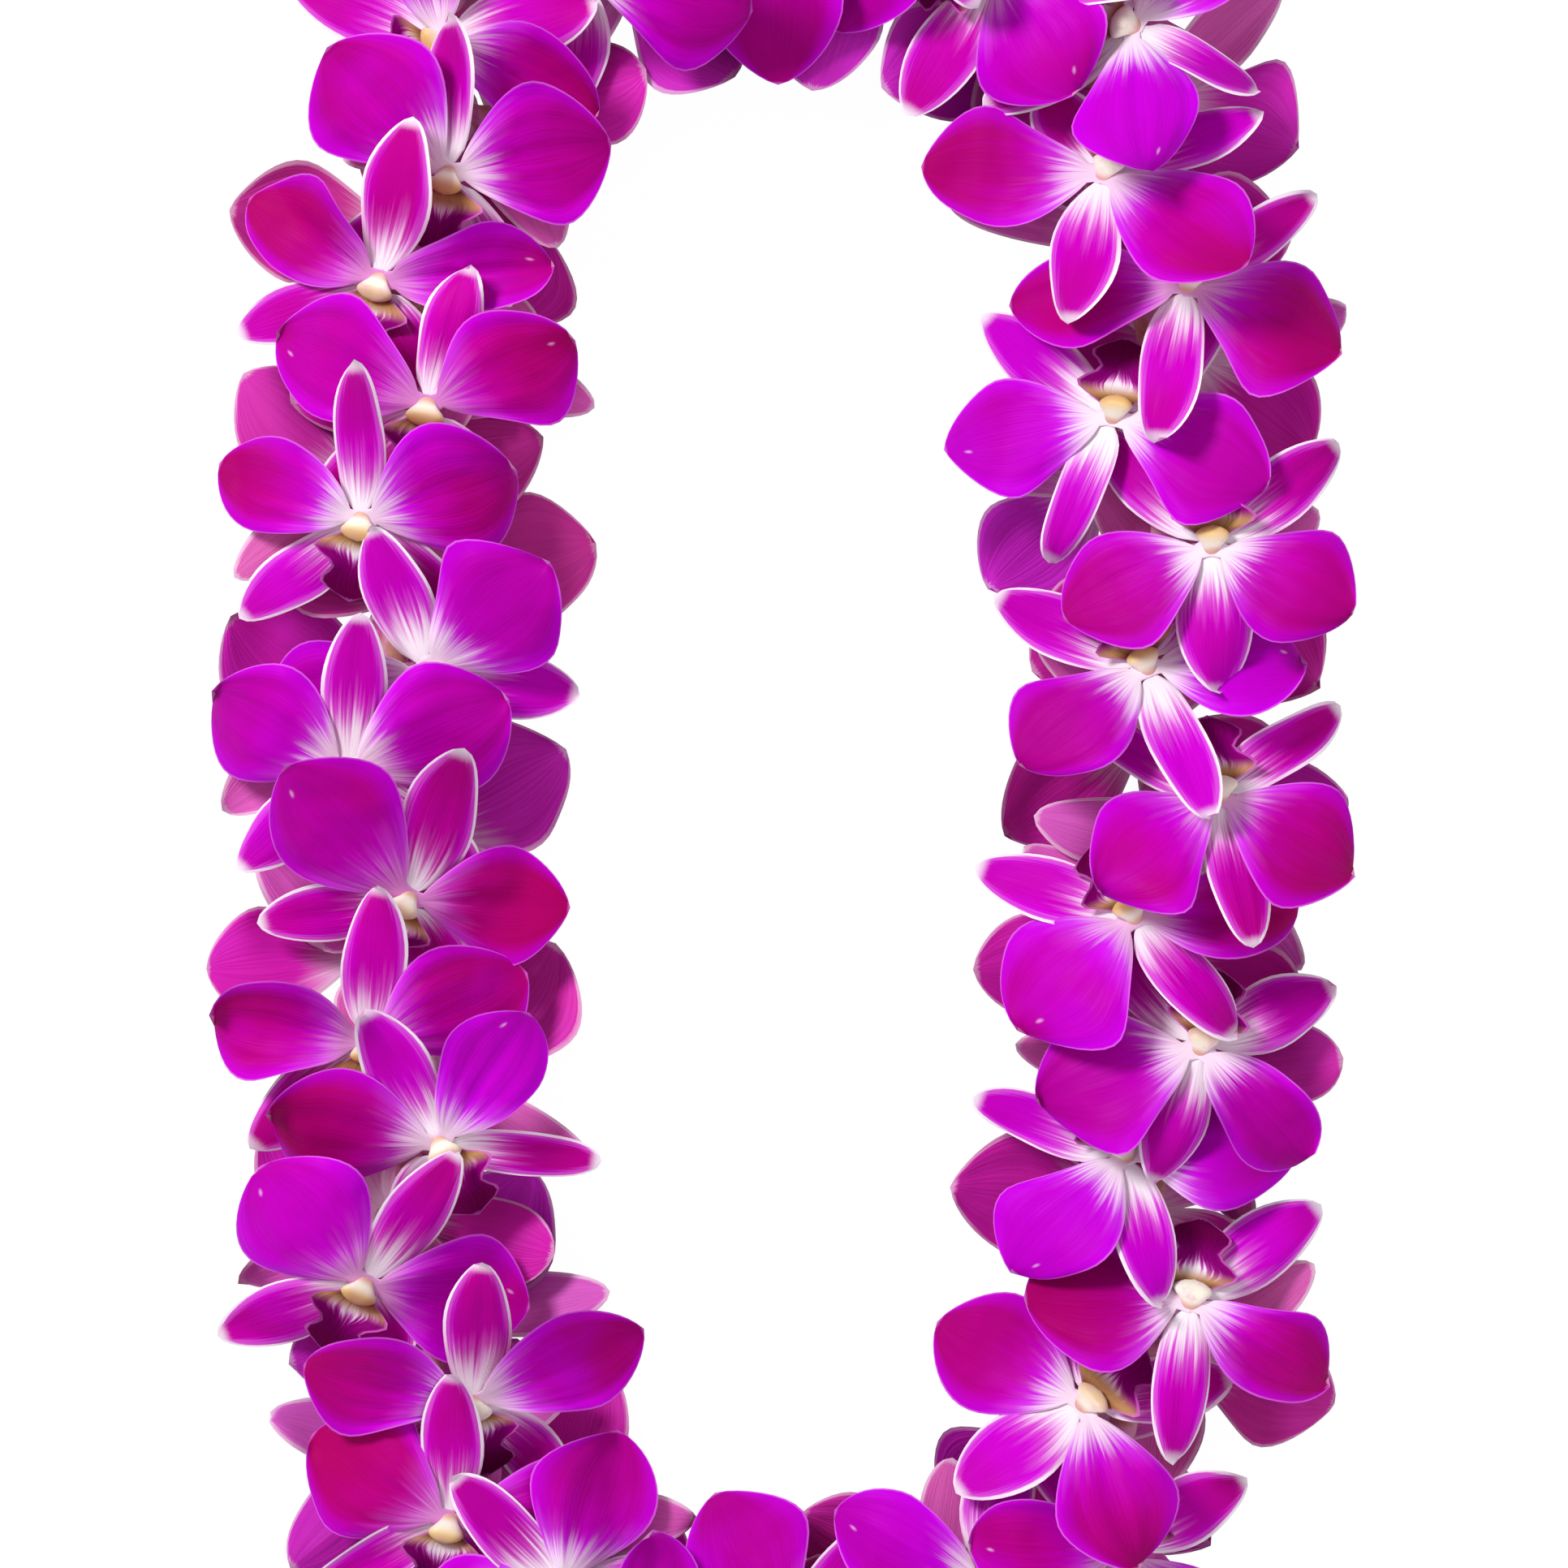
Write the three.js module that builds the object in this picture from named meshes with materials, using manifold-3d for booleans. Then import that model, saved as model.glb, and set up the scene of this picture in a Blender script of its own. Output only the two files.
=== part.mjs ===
// A fresh orchid lei laid flat: 72 magenta orchid blooms threaded on one knotted string loop.
// Millimetres, +Z up. The loop's middle is the origin and the surface it lies on is Z = 0.
// Half of the blooms face up and half face down, turn by turn along the string, and all of
// their upper sepals point clockwise, so each bloom lies shingled over the next one's throat.
import * as THREE from 'three';
import { mergeVertices } from 'three/addons/utils/BufferGeometryUtils.js';
import Module from 'manifold-3d';

const wasm = await Module();
wasm.setup();

// Driving dimensions of the loop, the string and the strand of blooms
const pairCount = 36;
const halfWidth = 77.6;
const endRadius = 70;
const endCentre = 111;
const stringHeight = 18.2;
const stringRadius = 0.7;
const stringSides = 4;
const boreRadius = 1.25;
const boreOverrun = 0.2;
const sleeveRadius = 2.9;
const sleeveSides = 5;
const sleeveReach = 0.47;
const knotRoom = 0.26;
const knotCount = -0.5;
const knotRadius = 1.55;
const knotTube = 0.45;
const knotSteps = 24;
const knotSides = 4;
const knotWinds = { round: 2, through: 3 };
const endLength = 6;
const endTaper = 0.8;
const endTurn = 1.25;

// How a bloom lies: its plate leans up along the string and droops to both sides
const leanAngle = THREE.MathUtils.degToRad(28);
const throatHeight = 10.6;
const droopReach = 34;
const riseFade = 0.6;
const frontLimit = 30;
const backLimit = 16;
const droopPower = 2.2;
const sideSqueeze = 0.96;
const familyGap = 0.95;
const stringClearance = 3.6;
const clearanceWidth = 5;
const blend = 2;
const undersideStart = 11;
const undersideSoftness = 10.5;
const floorShare = 0.75;

// How far the throats stand out and in by turns, and how much the blooms differ, each way
const zigzag = 7;
const spread = {
  along: 2.8, aside: 3.6, roll: 0.75, lean: 0.3, height: 2.2, side: 0.42,
  lift: 7, twist: 6, angle: 0.24, length: 0.08, width: 0.1, cup: 3.5, fold: 0.8,
};
const noise = { perBloom: 12.9898, perTrait: 78.233, perRedraw: 3.17, size: 43758.5453 };

// Which draw each bloom takes, counted from the first draw: one that clears every other bloom
// and keeps the strand's width and the ends of the loop's hole even
const firstDraw = 7500;
const redraws = [
  0, 72, 3, 8, 117, 86, 86, 142, 60, 0, 1, 0, 0, 6, 155, 91, 3, 0,
  2, 70, 167, 5, 12, 167, 19, 10, 2, 0, 135, 1, 57, 130, 111, 4, 119, 160,
  0, 0, 34, 3, 3, 0, 36, 1, 33, 1, 8, 0, 11, 0, 108, 1, 3, 0,
  0, 0, 1, 1, 6, 2, 204, 0, 0, 127, 63, 158, 133, 1, 2, 2, 94, 169,
];

// A bloom's six arms round its throat, each a thin blade with a lens-shaped section. The
// petals stand over the sepals, and the lip over both.
const petal = { length: 32.5, halfWidth: 14.5, skew: 1.25, fullness: 0.8, stand: 1.3, edge: 0.8 };
const sepal = { length: 31, halfWidth: 7.3, skew: 0.9, fullness: 0.6, stand: -1.4, edge: -0.6 };
const lip = { length: 15, halfWidth: 7, skew: 0.8, fullness: 0.8, stand: 1.3, edge: 4.2 };
const upperSteps = 4;
const underSteps = 3;
const narrowSteps = 3;
const tipLift = 0.8;
const backCut = { most: 0.45, halfAngle: 0.42, sharpness: 6 };
const foldShare = { width: 0.45, height: 0.6 };
const petalAngle = 1.15;
const lowerSepalAngle = 2.35;
const bladeThickness = 1.4;
const stationCrowding = 1.3;
const hubRadius = 3;
const hubThickness = 1.8;
const chin = { sides: 4, topRadius: 2.2, below: 2.7, footRadius: 1.5, footHeight: 1.55 };
const columnHeight = 6;
const columnLean = 3;
const clip = { side: 600, height: 200 };

// The four arcs of the oval, run clockwise from its leftmost point
const sideOffset = (endCentre ** 2 - (halfWidth - endRadius) ** 2) / (2 * (halfWidth - endRadius));
const sideRadius = halfWidth + sideOffset;
const sideAngle = Math.atan2(endCentre, sideOffset);
const endSweep = Math.PI - 2 * sideAngle;
const arcs = [
  { x: sideOffset, y: 0, radius: sideRadius, start: Math.PI, sweep: sideAngle },
  { x: 0, y: endCentre, radius: endRadius, start: Math.PI - sideAngle, sweep: endSweep },
  { x: -sideOffset, y: 0, radius: sideRadius, start: sideAngle, sweep: 2 * sideAngle },
  { x: 0, y: -endCentre, radius: endRadius, start: -sideAngle, sweep: endSweep },
  { x: sideOffset, y: 0, radius: sideRadius, start: sideAngle - Math.PI, sweep: sideAngle },
];
let loopLength = 0;
for (const arc of arcs) {
  arc.before = loopLength;
  loopLength += arc.radius * arc.sweep;
}
const halfStep = loopLength / (2 * pairCount);

// A repeatable draw between -1 and 1 for one bloom and one of its traits
function draw(bloom, trait) {
  const taken = firstDraw + redraws[bloom];
  const turn = bloom * noise.perBloom + trait * noise.perTrait + taken * noise.perRedraw;
  const value = noise.size * Math.sin(turn);
  return 2 * (value - Math.floor(value)) - 1;
}

// Wraps a distance along the loop to the range from minus half to plus half of it
function wrapped(distance) {
  return distance - loopLength * Math.round(distance / loopLength);
}

// The loop's point, direction and outward side at a distance along it
function along(distance) {
  const place = ((distance % loopLength) + loopLength) % loopLength;
  const arc = arcs.findLast((item) => item.before <= place);
  const angle = arc.start - (place - arc.before) / arc.radius;
  const outward = new THREE.Vector2(Math.cos(angle), Math.sin(angle));
  const point = new THREE.Vector2(arc.x, arc.y).addScaledVector(outward, arc.radius);
  return { point, outward, ahead: new THREE.Vector2(outward.y, -outward.x) };
}

// Where a point of the plane lies: its distance along the loop and how far outside it
function locate(x, y) {
  const endAngle = Math.atan2(Math.abs(x), Math.abs(y) - endCentre);
  let arc = x < 0 ? arcs[y < 0 ? 4 : 0] : arcs[2];
  if (endAngle < Math.PI / 2 - sideAngle) arc = y > 0 ? arcs[1] : arcs[3];
  const turned = arc.start - Math.atan2(y - arc.y, x - arc.x);
  const turn = turned - 2 * Math.PI * Math.round((turned - arc.sweep / 2) / (2 * Math.PI));
  const outside = Math.hypot(x - arc.x, y - arc.y) - arc.radius;
  return { distance: arc.before + turn * arc.radius, outside };
}

function smoothMax(a, b) {
  return (a + b + Math.hypot(a - b, blend)) / 2;
}

// The lowest a bloom may lie over the string's level, so that it clears the sleeves on the string
function lowest(outside) {
  return familyGap + stringClearance * Math.exp(-((outside / clearanceWidth) ** 2));
}

// The side that a bloom's throat stands to: two blooms out, the next two in
function sideOf(index) {
  return Math.floor(index / 2) % 2 === 0 ? 1 : -1;
}

// A bloom's place on the loop and its traits, from its draws
function makeBloom(index) {
  const distance = index * halfStep + spread.along * draw(index, 1);
  const frame = along(distance);
  return {
    index,
    distance,
    ...frame,
    facing: index % 2 === 0 ? 1 : -1,
    aside: zigzag * sideOf(index) + spread.aside * draw(index, 2),
    roll: spread.roll * draw(index, 3),
    slope: Math.tan(leanAngle) + spread.lean * draw(index, 4),
    rise: spread.height * draw(index, 5),
    side: spread.side * draw(index, 6),
  };
}

// Height of a bloom's plate from the string's level: it rises along the loop, levels out at
// both ends and droops to the sides. Nothing comes lower than the floor over the string.
function plateHeight(bloom, x, y, lift, floorLift) {
  const { distance, outside } = locate(x, y);
  const ahead = wrapped(distance - bloom.distance);
  const limit = ahead > 0 ? frontLimit : backLimit;
  const run = (ahead + limit * Math.tanh(ahead / limit)) / 2;
  const droop = throatHeight * (1 - (Math.abs(outside) / droopReach) ** droopPower);
  const fade = 1 - riseFade * Math.min(1, (outside / droopReach) ** 2);
  const free = droop + bloom.slope * run * fade + bloom.rise + bloom.side * outside + lift;
  return smoothMax(free, lowest(outside) + floorLift);
}

// The blooms underneath are pressed flatter where the lei lies on them
function settled(height) {
  const over = height - undersideStart;
  if (over <= 0) return height;
  return undersideStart + undersideSoftness * (1 - Math.exp(-over / undersideSoftness));
}

// Moves plate coordinates, with u towards the upper sepal and v aside, to the real place
function placeOnPlate(bloom, u, v, lift, floorLift = 0, layer = 0) {
  const forward = u * Math.cos(leanAngle);
  const x = bloom.point.x + bloom.ahead.x * forward + bloom.outward.x * (bloom.aside + v * sideSqueeze);
  const y = bloom.point.y + bloom.ahead.y * forward + bloom.outward.y * (bloom.aside + v * sideSqueeze);
  const height = plateHeight(bloom, x, y, lift, floorLift) + layer;
  const fall = bloom.facing > 0 ? height : -settled(height);
  return new THREE.Vector3(x, y, stringHeight + fall);
}

// Makes a geometry's vertices into one closed solid, after each is moved by a rule
function solidFrom(geometry, move) {
  const place = geometry.attributes.position;
  const moved = [];
  for (let i = 0; i < place.count; i++) {
    moved.push(...move(new THREE.Vector3().fromBufferAttribute(place, i)).toArray());
  }
  const bare = new THREE.BufferGeometry();
  bare.setAttribute('position', new THREE.Float32BufferAttribute(moved, 3));
  bare.setIndex(geometry.index);
  const closed = mergeVertices(bare, 1e-4);
  const mesh = { numProp: 3, vertProperties: closed.attributes.position.array };
  const triVerts = Uint32Array.from(closed.index.array);
  const solid = new wasm.Manifold(new wasm.Mesh({ ...mesh, triVerts }));
  if (solid.volume() > 0) return solid;
  triVerts.reverse();
  return new wasm.Manifold(new wasm.Mesh({ ...mesh, triVerts }));
}

// The six arms of a bloom in turn from the upper sepal, each with its own tip lift and twist
function armsOf(bloom) {
  const petalSteps = bloom.facing > 0 ? upperSteps : underSteps;
  const arms = [
    { ...sepal, angle: 0, steps: narrowSteps },
    { ...petal, angle: petalAngle, steps: petalSteps },
    { ...sepal, angle: lowerSepalAngle, steps: narrowSteps },
    { ...lip, angle: Math.PI, steps: petalSteps - 1 },
    { ...sepal, angle: 2 * Math.PI - lowerSepalAngle, steps: narrowSteps },
    { ...petal, angle: 2 * Math.PI - petalAngle, steps: petalSteps },
  ];
  arms.forEach((arm, k) => {
    const free = arm.length > lip.length ? 1 : 0;
    arm.lift = free * (tipLift + spread.lift * draw(bloom.index, 7 + k));
    arm.angle += free * spread.angle * draw(bloom.index, 15 + k);
    arm.twist = free * spread.twist * draw(bloom.index, 27 + k);
    const off = Math.abs(bloom.roll + arm.angle - Math.PI) / backCut.halfAngle;
    const cut = (free * backCut.most) / (1 + off ** backCut.sharpness);
    arm.length *= (1 - cut) * (1 + free * spread.length * draw(bloom.index, 37 + k));
    arm.halfWidth *= 1 + free * spread.width * draw(bloom.index, 44 + k);
    arm.edge += free * spread.cup * (arm.halfWidth / petal.halfWidth) * draw(bloom.index, 100 + k);
    arm.fold = free * spread.fold * Math.max(0, draw(bloom.index, 120 + k));
  });
  return arms;
}

// How far an arm stays over the floor, so that upper arms stay clear of lower ones there
function floorLiftOf(arm) {
  return floorShare * (arm.stand - sepal.stand);
}

// A corner of an arm: run from root to tip, side -1, 0 or 1 across, and layer -1 or 1 under or
// over its middle. Half width = the sine of the run along the arm, skewed to one half. A folded
// arm is narrower, and its edges stand up by as much.
function armCorner(bloom, arm, run, side, layer) {
  const swell = Math.sin(Math.PI * run);
  const narrowed = 1 - foldShare.width * arm.fold * swell;
  const across = side * arm.halfWidth * narrowed * Math.sin(Math.PI * run ** arm.skew) ** arm.fullness;
  const turn = bloom.roll + arm.angle;
  const reach = hubRadius + run * arm.length;
  const u = reach * Math.cos(turn) - across * Math.sin(turn);
  const v = reach * Math.sin(turn) + across * Math.cos(turn);
  const raised = arm.edge + foldShare.height * arm.fold * arm.halfWidth;
  const bend = raised * side ** 2 * swell + arm.twist * side * run ** 2;
  const lift = arm.stand + arm.lift * run ** 2 + bend;
  return placeOnPlate(bloom, u, v, lift, floorLiftOf(arm) * (1 - run ** 2), (layer * bladeThickness) / 2);
}

// A corner of the chin's foot, inside the wall of the sleeve
function chinFoot(bloom, turn) {
  const forward = chin.footRadius * Math.cos(turn);
  const aside = chin.footRadius * Math.sin(turn);
  const foot = stringPoint(bloom.distance / halfStep);
  foot.x += bloom.ahead.x * forward + bloom.outward.x * aside;
  foot.y += bloom.ahead.y * forward + bloom.outward.y * aside;
  foot.z += bloom.facing * chin.footHeight;
  return foot;
}

// A whole bloom as one closed solid: a hub with its chin and column, and the arms round it.
// Each blade's quads are split from its edges to its middle, alike over and under it.
function bloomSolid(bloom) {
  const corners = [];
  const faces = [];
  const addCorner = (corner) => corners.push(corner) - 1;
  const arms = armsOf(bloom);
  const hubPoint = (turn, lift, layer) =>
    placeOnPlate(bloom, hubRadius * Math.cos(turn), hubRadius * Math.sin(turn), lift, 0, layer);

  const column = addCorner(placeOnPlate(bloom, -columnLean, 0, 0, 0, columnHeight));
  const notches = arms.map((arm, k) => {
    const before = arms[(k + arms.length - 1) % arms.length].angle - (k === 0 ? 2 * Math.PI : 0);
    return addCorner(hubPoint(bloom.roll + (before + arm.angle) / 2, 0, 0));
  });

  const hubEdge = [];
  arms.forEach((arm, k) => {
    const turn = bloom.roll + arm.angle;
    const over = addCorner(hubPoint(turn, arm.stand, hubThickness / 2));
    const under = addCorner(hubPoint(turn, arm.stand, -hubThickness / 2));
    let ring = [notches[k], over, notches[(k + 1) % arms.length], under];
    faces.push([column, ring[0], over], [column, over, ring[2]]);
    hubEdge.push(ring[0], under);
    for (let step = 1; step < arm.steps; step++) {
      const run = 1 - (1 - step / arm.steps) ** stationCrowding;
      const sides = [[-1, 0], [0, 1], [1, 0], [0, -1]];
      const next = sides.map(([side, layer]) => addCorner(armCorner(bloom, arm, run, side, layer)));
      for (let i = 0; i < 4; i++) {
        const j = (i + 1) % 4;
        if (i % 2 === 0) faces.push([ring[i], next[i], next[j]], [ring[i], next[j], ring[j]]);
        else faces.push([ring[i], next[i], ring[j]], [next[i], next[j], ring[j]]);
      }
      ring = next;
    }
    const tip = addCorner(armCorner(bloom, arm, 1, 0, 0));
    for (let i = 0; i < 4; i++) faces.push([ring[i], tip, ring[(i + 1) % 4]]);
  });

  // The chin: a four-sided stalk from under the hub into the wall of the sleeve on the string
  const collar = [];
  const foot = [];
  for (let i = 0; i < chin.sides; i++) {
    const turn = (2 * Math.PI * i) / chin.sides;
    const onHub = bloom.roll + turn;
    const flat = [chin.topRadius * Math.cos(onHub), chin.topRadius * Math.sin(onHub)];
    collar.push(addCorner(placeOnPlate(bloom, ...flat, 0, 0, -chin.below)));
    foot.push(addCorner(chinFoot(bloom, onHub)));
  }
  const perSide = hubEdge.length / chin.sides;
  hubEdge.forEach((corner, i) => {
    const nextCorner = hubEdge[(i + 1) % hubEdge.length];
    const side = Math.floor(i / perSide);
    const nextSide = Math.floor((i + 1) / perSide) % chin.sides;
    faces.push([nextCorner, corner, collar[side]]);
    if (side !== nextSide) faces.push([nextCorner, collar[side], collar[nextSide]]);
  });
  for (let i = 0; i < chin.sides; i++) {
    const j = (i + 1) % chin.sides;
    faces.push([collar[j], collar[i], foot[i]], [collar[j], foot[i], foot[j]]);
  }
  faces.push([foot[1], foot[0], foot[2]], [foot[3], foot[2], foot[0]]);

  const geometry = new THREE.BufferGeometry().setFromPoints(corners);
  geometry.setIndex(faces.flat());
  return solidFrom(geometry, (corner) => corner);
}

// The string's point at a count of half steps along it: straight between whole counts
function stringPoint(count) {
  const before = along(Math.floor(count) * halfStep).point;
  const after = along(Math.floor(count + 1) * halfStep).point;
  const flat = before.clone().lerp(after, count - Math.floor(count));
  return new THREE.Vector3(flat.x, flat.y, stringHeight);
}

// A ring's corner round the string at a count of half steps
function stringCorner(count, radius, angle) {
  const outward = along(count * halfStep).outward;
  const side = new THREE.Vector3(outward.x, outward.y, 0).multiplyScalar(radius * Math.cos(angle));
  return stringPoint(count).add(side).add(new THREE.Vector3(0, 0, radius * Math.sin(angle)));
}

// A tube round the string through a list of counts
function tubeSolid(counts, radius, sides) {
  const tube = new THREE.CylinderGeometry(1, 1, 1, sides, counts.length - 1);
  return solidFrom(tube, (corner) => {
    const count = counts[Math.round((corner.y + 0.5) * (counts.length - 1))];
    return stringCorner(count, radius, Math.atan2(corner.z, corner.x));
  });
}

function nodeMesh(solid, name, material) {
  const { vertProperties, triVerts } = solid.getMesh();
  const geometry = new THREE.BufferGeometry();
  geometry.setAttribute('position', new THREE.Float32BufferAttribute(vertProperties, 3));
  geometry.setIndex(Array.from(triVerts));
  geometry.computeVertexNormals();
  const mesh = new THREE.Mesh(geometry, material);
  mesh.name = name;
  return mesh;
}

const lei = new THREE.Group();
const bloomMaterial = new THREE.MeshStandardMaterial({ color: 0xa800a4, roughness: 0.5, metalness: 0 });
const stringMaterial = new THREE.MeshStandardMaterial({ color: 0xd9d4c4, roughness: 0.9, metalness: 0 });

// Nothing reaches below the surface: tips that would are cut flat on it
const clipBox = new THREE.BoxGeometry(clip.side, clip.side, clip.height).translate(0, 0, clip.height / 2);
const aboveSurface = solidFrom(clipBox, (corner) => corner);

for (let pair = 0; pair < pairCount; pair++) {
  const first = 2 * pair;
  const start = first - (pair === 0 ? knotRoom : sleeveReach);
  const end = first + 1 + (pair === pairCount - 1 ? knotRoom : sleeveReach);
  const counts = [start, first, first + 1, end];
  const sleeve = tubeSolid(counts, sleeveRadius, sleeveSides);
  const boreCounts = [start - boreOverrun, first, first + 1, end + boreOverrun];
  const bore = tubeSolid(boreCounts, boreRadius, stringSides);
  const pieces = [bloomSolid(makeBloom(first)), bloomSolid(makeBloom(first + 1)), sleeve];
  const solid = wasm.Manifold.union(pieces).subtract(bore).intersect(aboveSurface);
  lei.add(nodeMesh(solid, `blooms_${String(pair + 1).padStart(2, '0')}`, bloomMaterial));
}

// The string: a ring of a like tube, bent onto the loop
const ring = new THREE.TorusGeometry(1, 0.5, stringSides, 2 * pairCount);
const string = solidFrom(ring, (corner) => {
  const turn = Math.atan2(corner.y, corner.x) / (2 * Math.PI);
  const count = Math.round(turn * 2 * pairCount);
  const angle = Math.atan2(corner.z, Math.hypot(corner.x, corner.y) - 1);
  return stringCorner(count, stringRadius, angle);
});

// The knot that closes it, in the gap between the last bloom and the first, with two short ends
const knotPlace = stringPoint(knotCount);
const knotSide = along(knotCount * halfStep);
const outward = new THREE.Vector3(knotSide.outward.x, knotSide.outward.y, 0);
const ahead = new THREE.Vector3(knotSide.ahead.x, knotSide.ahead.y, 0);
const upward = new THREE.Vector3(0, 0, 1);
const knotTurn = new THREE.Matrix4().makeBasis(outward, upward, ahead).setPosition(knotPlace);
const { round, through } = knotWinds;
const bareKnot = new THREE.TorusKnotGeometry(knotRadius, knotTube, knotSteps, knotSides, round, through);
const knot = solidFrom(bareKnot, (corner) => corner.applyMatrix4(knotTurn));
const endPlace = new THREE.Matrix4().makeBasis(outward, ahead, upward).setPosition(knotPlace);
const ends = [-1, 1].map((side) => {
  const end = new THREE.CylinderGeometry(endTaper * stringRadius, stringRadius, endLength, stringSides);
  end.translate(0, endLength / 2, 0).rotateZ(-side * endTurn);
  return solidFrom(end, (corner) => corner.applyMatrix4(endPlace));
});
const knotted = wasm.Manifold.union([string, knot, ...ends]);
lei.add(nodeMesh(knotted, 'string', stringMaterial));

export default lei;
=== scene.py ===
import math

import bpy
import numpy as np
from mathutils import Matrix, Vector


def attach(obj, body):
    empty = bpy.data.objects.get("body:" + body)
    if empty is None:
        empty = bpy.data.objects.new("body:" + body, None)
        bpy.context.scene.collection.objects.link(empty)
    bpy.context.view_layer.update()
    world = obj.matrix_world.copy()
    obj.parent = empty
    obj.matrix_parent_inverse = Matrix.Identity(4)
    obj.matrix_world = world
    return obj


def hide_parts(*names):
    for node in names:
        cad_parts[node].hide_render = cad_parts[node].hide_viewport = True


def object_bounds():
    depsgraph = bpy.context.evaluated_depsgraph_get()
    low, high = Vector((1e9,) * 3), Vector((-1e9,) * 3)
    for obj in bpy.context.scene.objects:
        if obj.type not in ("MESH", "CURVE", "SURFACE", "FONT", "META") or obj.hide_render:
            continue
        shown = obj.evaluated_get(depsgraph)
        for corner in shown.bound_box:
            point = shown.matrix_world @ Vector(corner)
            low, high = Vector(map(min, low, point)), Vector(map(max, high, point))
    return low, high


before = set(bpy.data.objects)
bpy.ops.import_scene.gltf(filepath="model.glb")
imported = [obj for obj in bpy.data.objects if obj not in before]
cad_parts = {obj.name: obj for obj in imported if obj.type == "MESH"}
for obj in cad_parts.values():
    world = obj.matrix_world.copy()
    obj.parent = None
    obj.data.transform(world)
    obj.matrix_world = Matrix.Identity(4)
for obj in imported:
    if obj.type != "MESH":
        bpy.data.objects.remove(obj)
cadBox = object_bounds()
scene = bpy.context.scene
print("frame loaded:", len(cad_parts), "nodes")

mm = 0.001

# Camera, lights, floor
view = {
    "centre": (0.0005, 0.0), "height": 1.15,
    "span": 0.309, "spanLevel": 0.03,  # metres of lei across the picture at this height
    "sensor": 36.0, "near": 0.01, "far": 20.0,
}
light = {
    "sky": 0.52, "skyColour": (1.0, 0.985, 1.0),
    "keyPlace": (-0.75, 0.65, 1.1), "keySize": 0.42, "keyPower": 15.4,
    "fillPlace": (0.8, -0.4, 0.8), "fillSize": 1.2, "fillPower": 2.0,
    "floorSize": 8.0, "floorDrop": 0.0002, "floorBounce": 0.55, "floorSeen": 0.04, "floorGlow": 0.98,
    "floorRoughness": 0.9, "floorGloss": 0.1,
}


# A round lamp turned towards the middle of the lei
def addAreaLight(name, place, size, power):
    lamp = bpy.data.lights.new(name, "AREA")
    lamp.shape, lamp.size, lamp.energy = "DISK", size, power
    holder = bpy.data.objects.new(name, lamp)
    x, y, z = place
    holder.location = place
    holder.rotation_euler = (math.atan2(math.hypot(x, y), z), 0.0, math.atan2(x, -y))
    scene.collection.objects.link(holder)


lens = bpy.data.cameras.new("camera")
lens.sensor_width, lens.clip_start, lens.clip_end = view["sensor"], view["near"], view["far"]
lens.lens = view["sensor"] * (view["height"] - view["spanLevel"]) / view["span"]
camera = bpy.data.objects.new("camera", lens)
camera.location = (*view["centre"], view["height"])
scene.collection.objects.link(camera)
scene.camera = camera

scene.view_settings.view_transform = "Standard"
world = bpy.data.worlds.new("studio")
scene.world = world
world.use_nodes = True
sky = world.node_tree.nodes["Background"]
sky.inputs["Color"].default_value = (*light["skyColour"], 1.0)
sky.inputs["Strength"].default_value = light["sky"]
addAreaLight("keyLight", light["keyPlace"], light["keySize"], light["keyPower"])
addAreaLight("fillLight", light["fillPlace"], light["fillSize"], light["fillPower"])

half, drop = light["floorSize"] / 2, -light["floorDrop"]
floorCorners = [(-half, -half, drop), (half, -half, drop), (half, half, drop), (-half, half, drop)]
floorMesh = bpy.data.meshes.new("floor")
floorMesh.from_pydata(floorCorners, [], [(0, 1, 2, 3)])
floor = bpy.data.objects.new("floor", floorMesh)
scene.collection.objects.link(floor)
floorPaint = bpy.data.materials.new("floorPaint")
floorPaint.use_nodes = True
floorTree = floorPaint.node_tree
floorShader = floorTree.nodes["Principled BSDF"]
floorShader.inputs["Roughness"].default_value = light["floorRoughness"]
floorShader.inputs["Specular IOR Level"].default_value = light["floorGloss"]
floorShader.inputs["Emission Color"].default_value = (1.0, 1.0, 1.0, 1.0)
# The floor is near white where it is seen, and a dimmer sheet for the light that it sends back
seen = floorTree.nodes.new("ShaderNodeLightPath").outputs["Is Camera Ray"]
for socket, hidden, shown in (("Base Color", light["floorBounce"], light["floorSeen"]),
                              ("Emission Strength", 0.0, light["floorGlow"])):
    share = floorTree.nodes.new("ShaderNodeMapRange")
    share.inputs["To Min"].default_value, share.inputs["To Max"].default_value = hidden, shown
    floorTree.links.new(seen, share.inputs["Value"])
    floorTree.links.new(share.outputs[0], floorShader.inputs[socket])
floorMesh.materials.append(floorPaint)
print("camera, lights and floor ready")

# The loop and how a bloom lies on it
# All of this is in millimetres, as in the part's source
loop = {"pairs": 36, "halfWidth": 77.6, "endRadius": 70.0, "endCentre": 111.0, "stringHeight": 18.2}
lie = {
    "leanAngle": math.radians(28), "throatHeight": 10.6, "droopReach": 34.0, "riseFade": 0.6,
    "frontLimit": 30.0, "backLimit": 16.0, "droopPower": 2.2, "sideSqueeze": 0.96, "familyGap": 0.95,
    "stringClearance": 3.6, "clearanceWidth": 5.0, "blend": 2.0,
    "undersideStart": 11.0, "undersideSoftness": 10.5,
}
spread = {
    "along": 2.8, "zigzag": 7.0, "aside": 3.6, "roll": 0.75, "lean": 0.3, "height": 2.2, "side": 0.42,
    "lift": 7.0, "twist": 6.0, "angle": 0.24, "length": 0.08, "width": 0.1, "cup": 3.5, "fold": 0.8,
}
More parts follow.
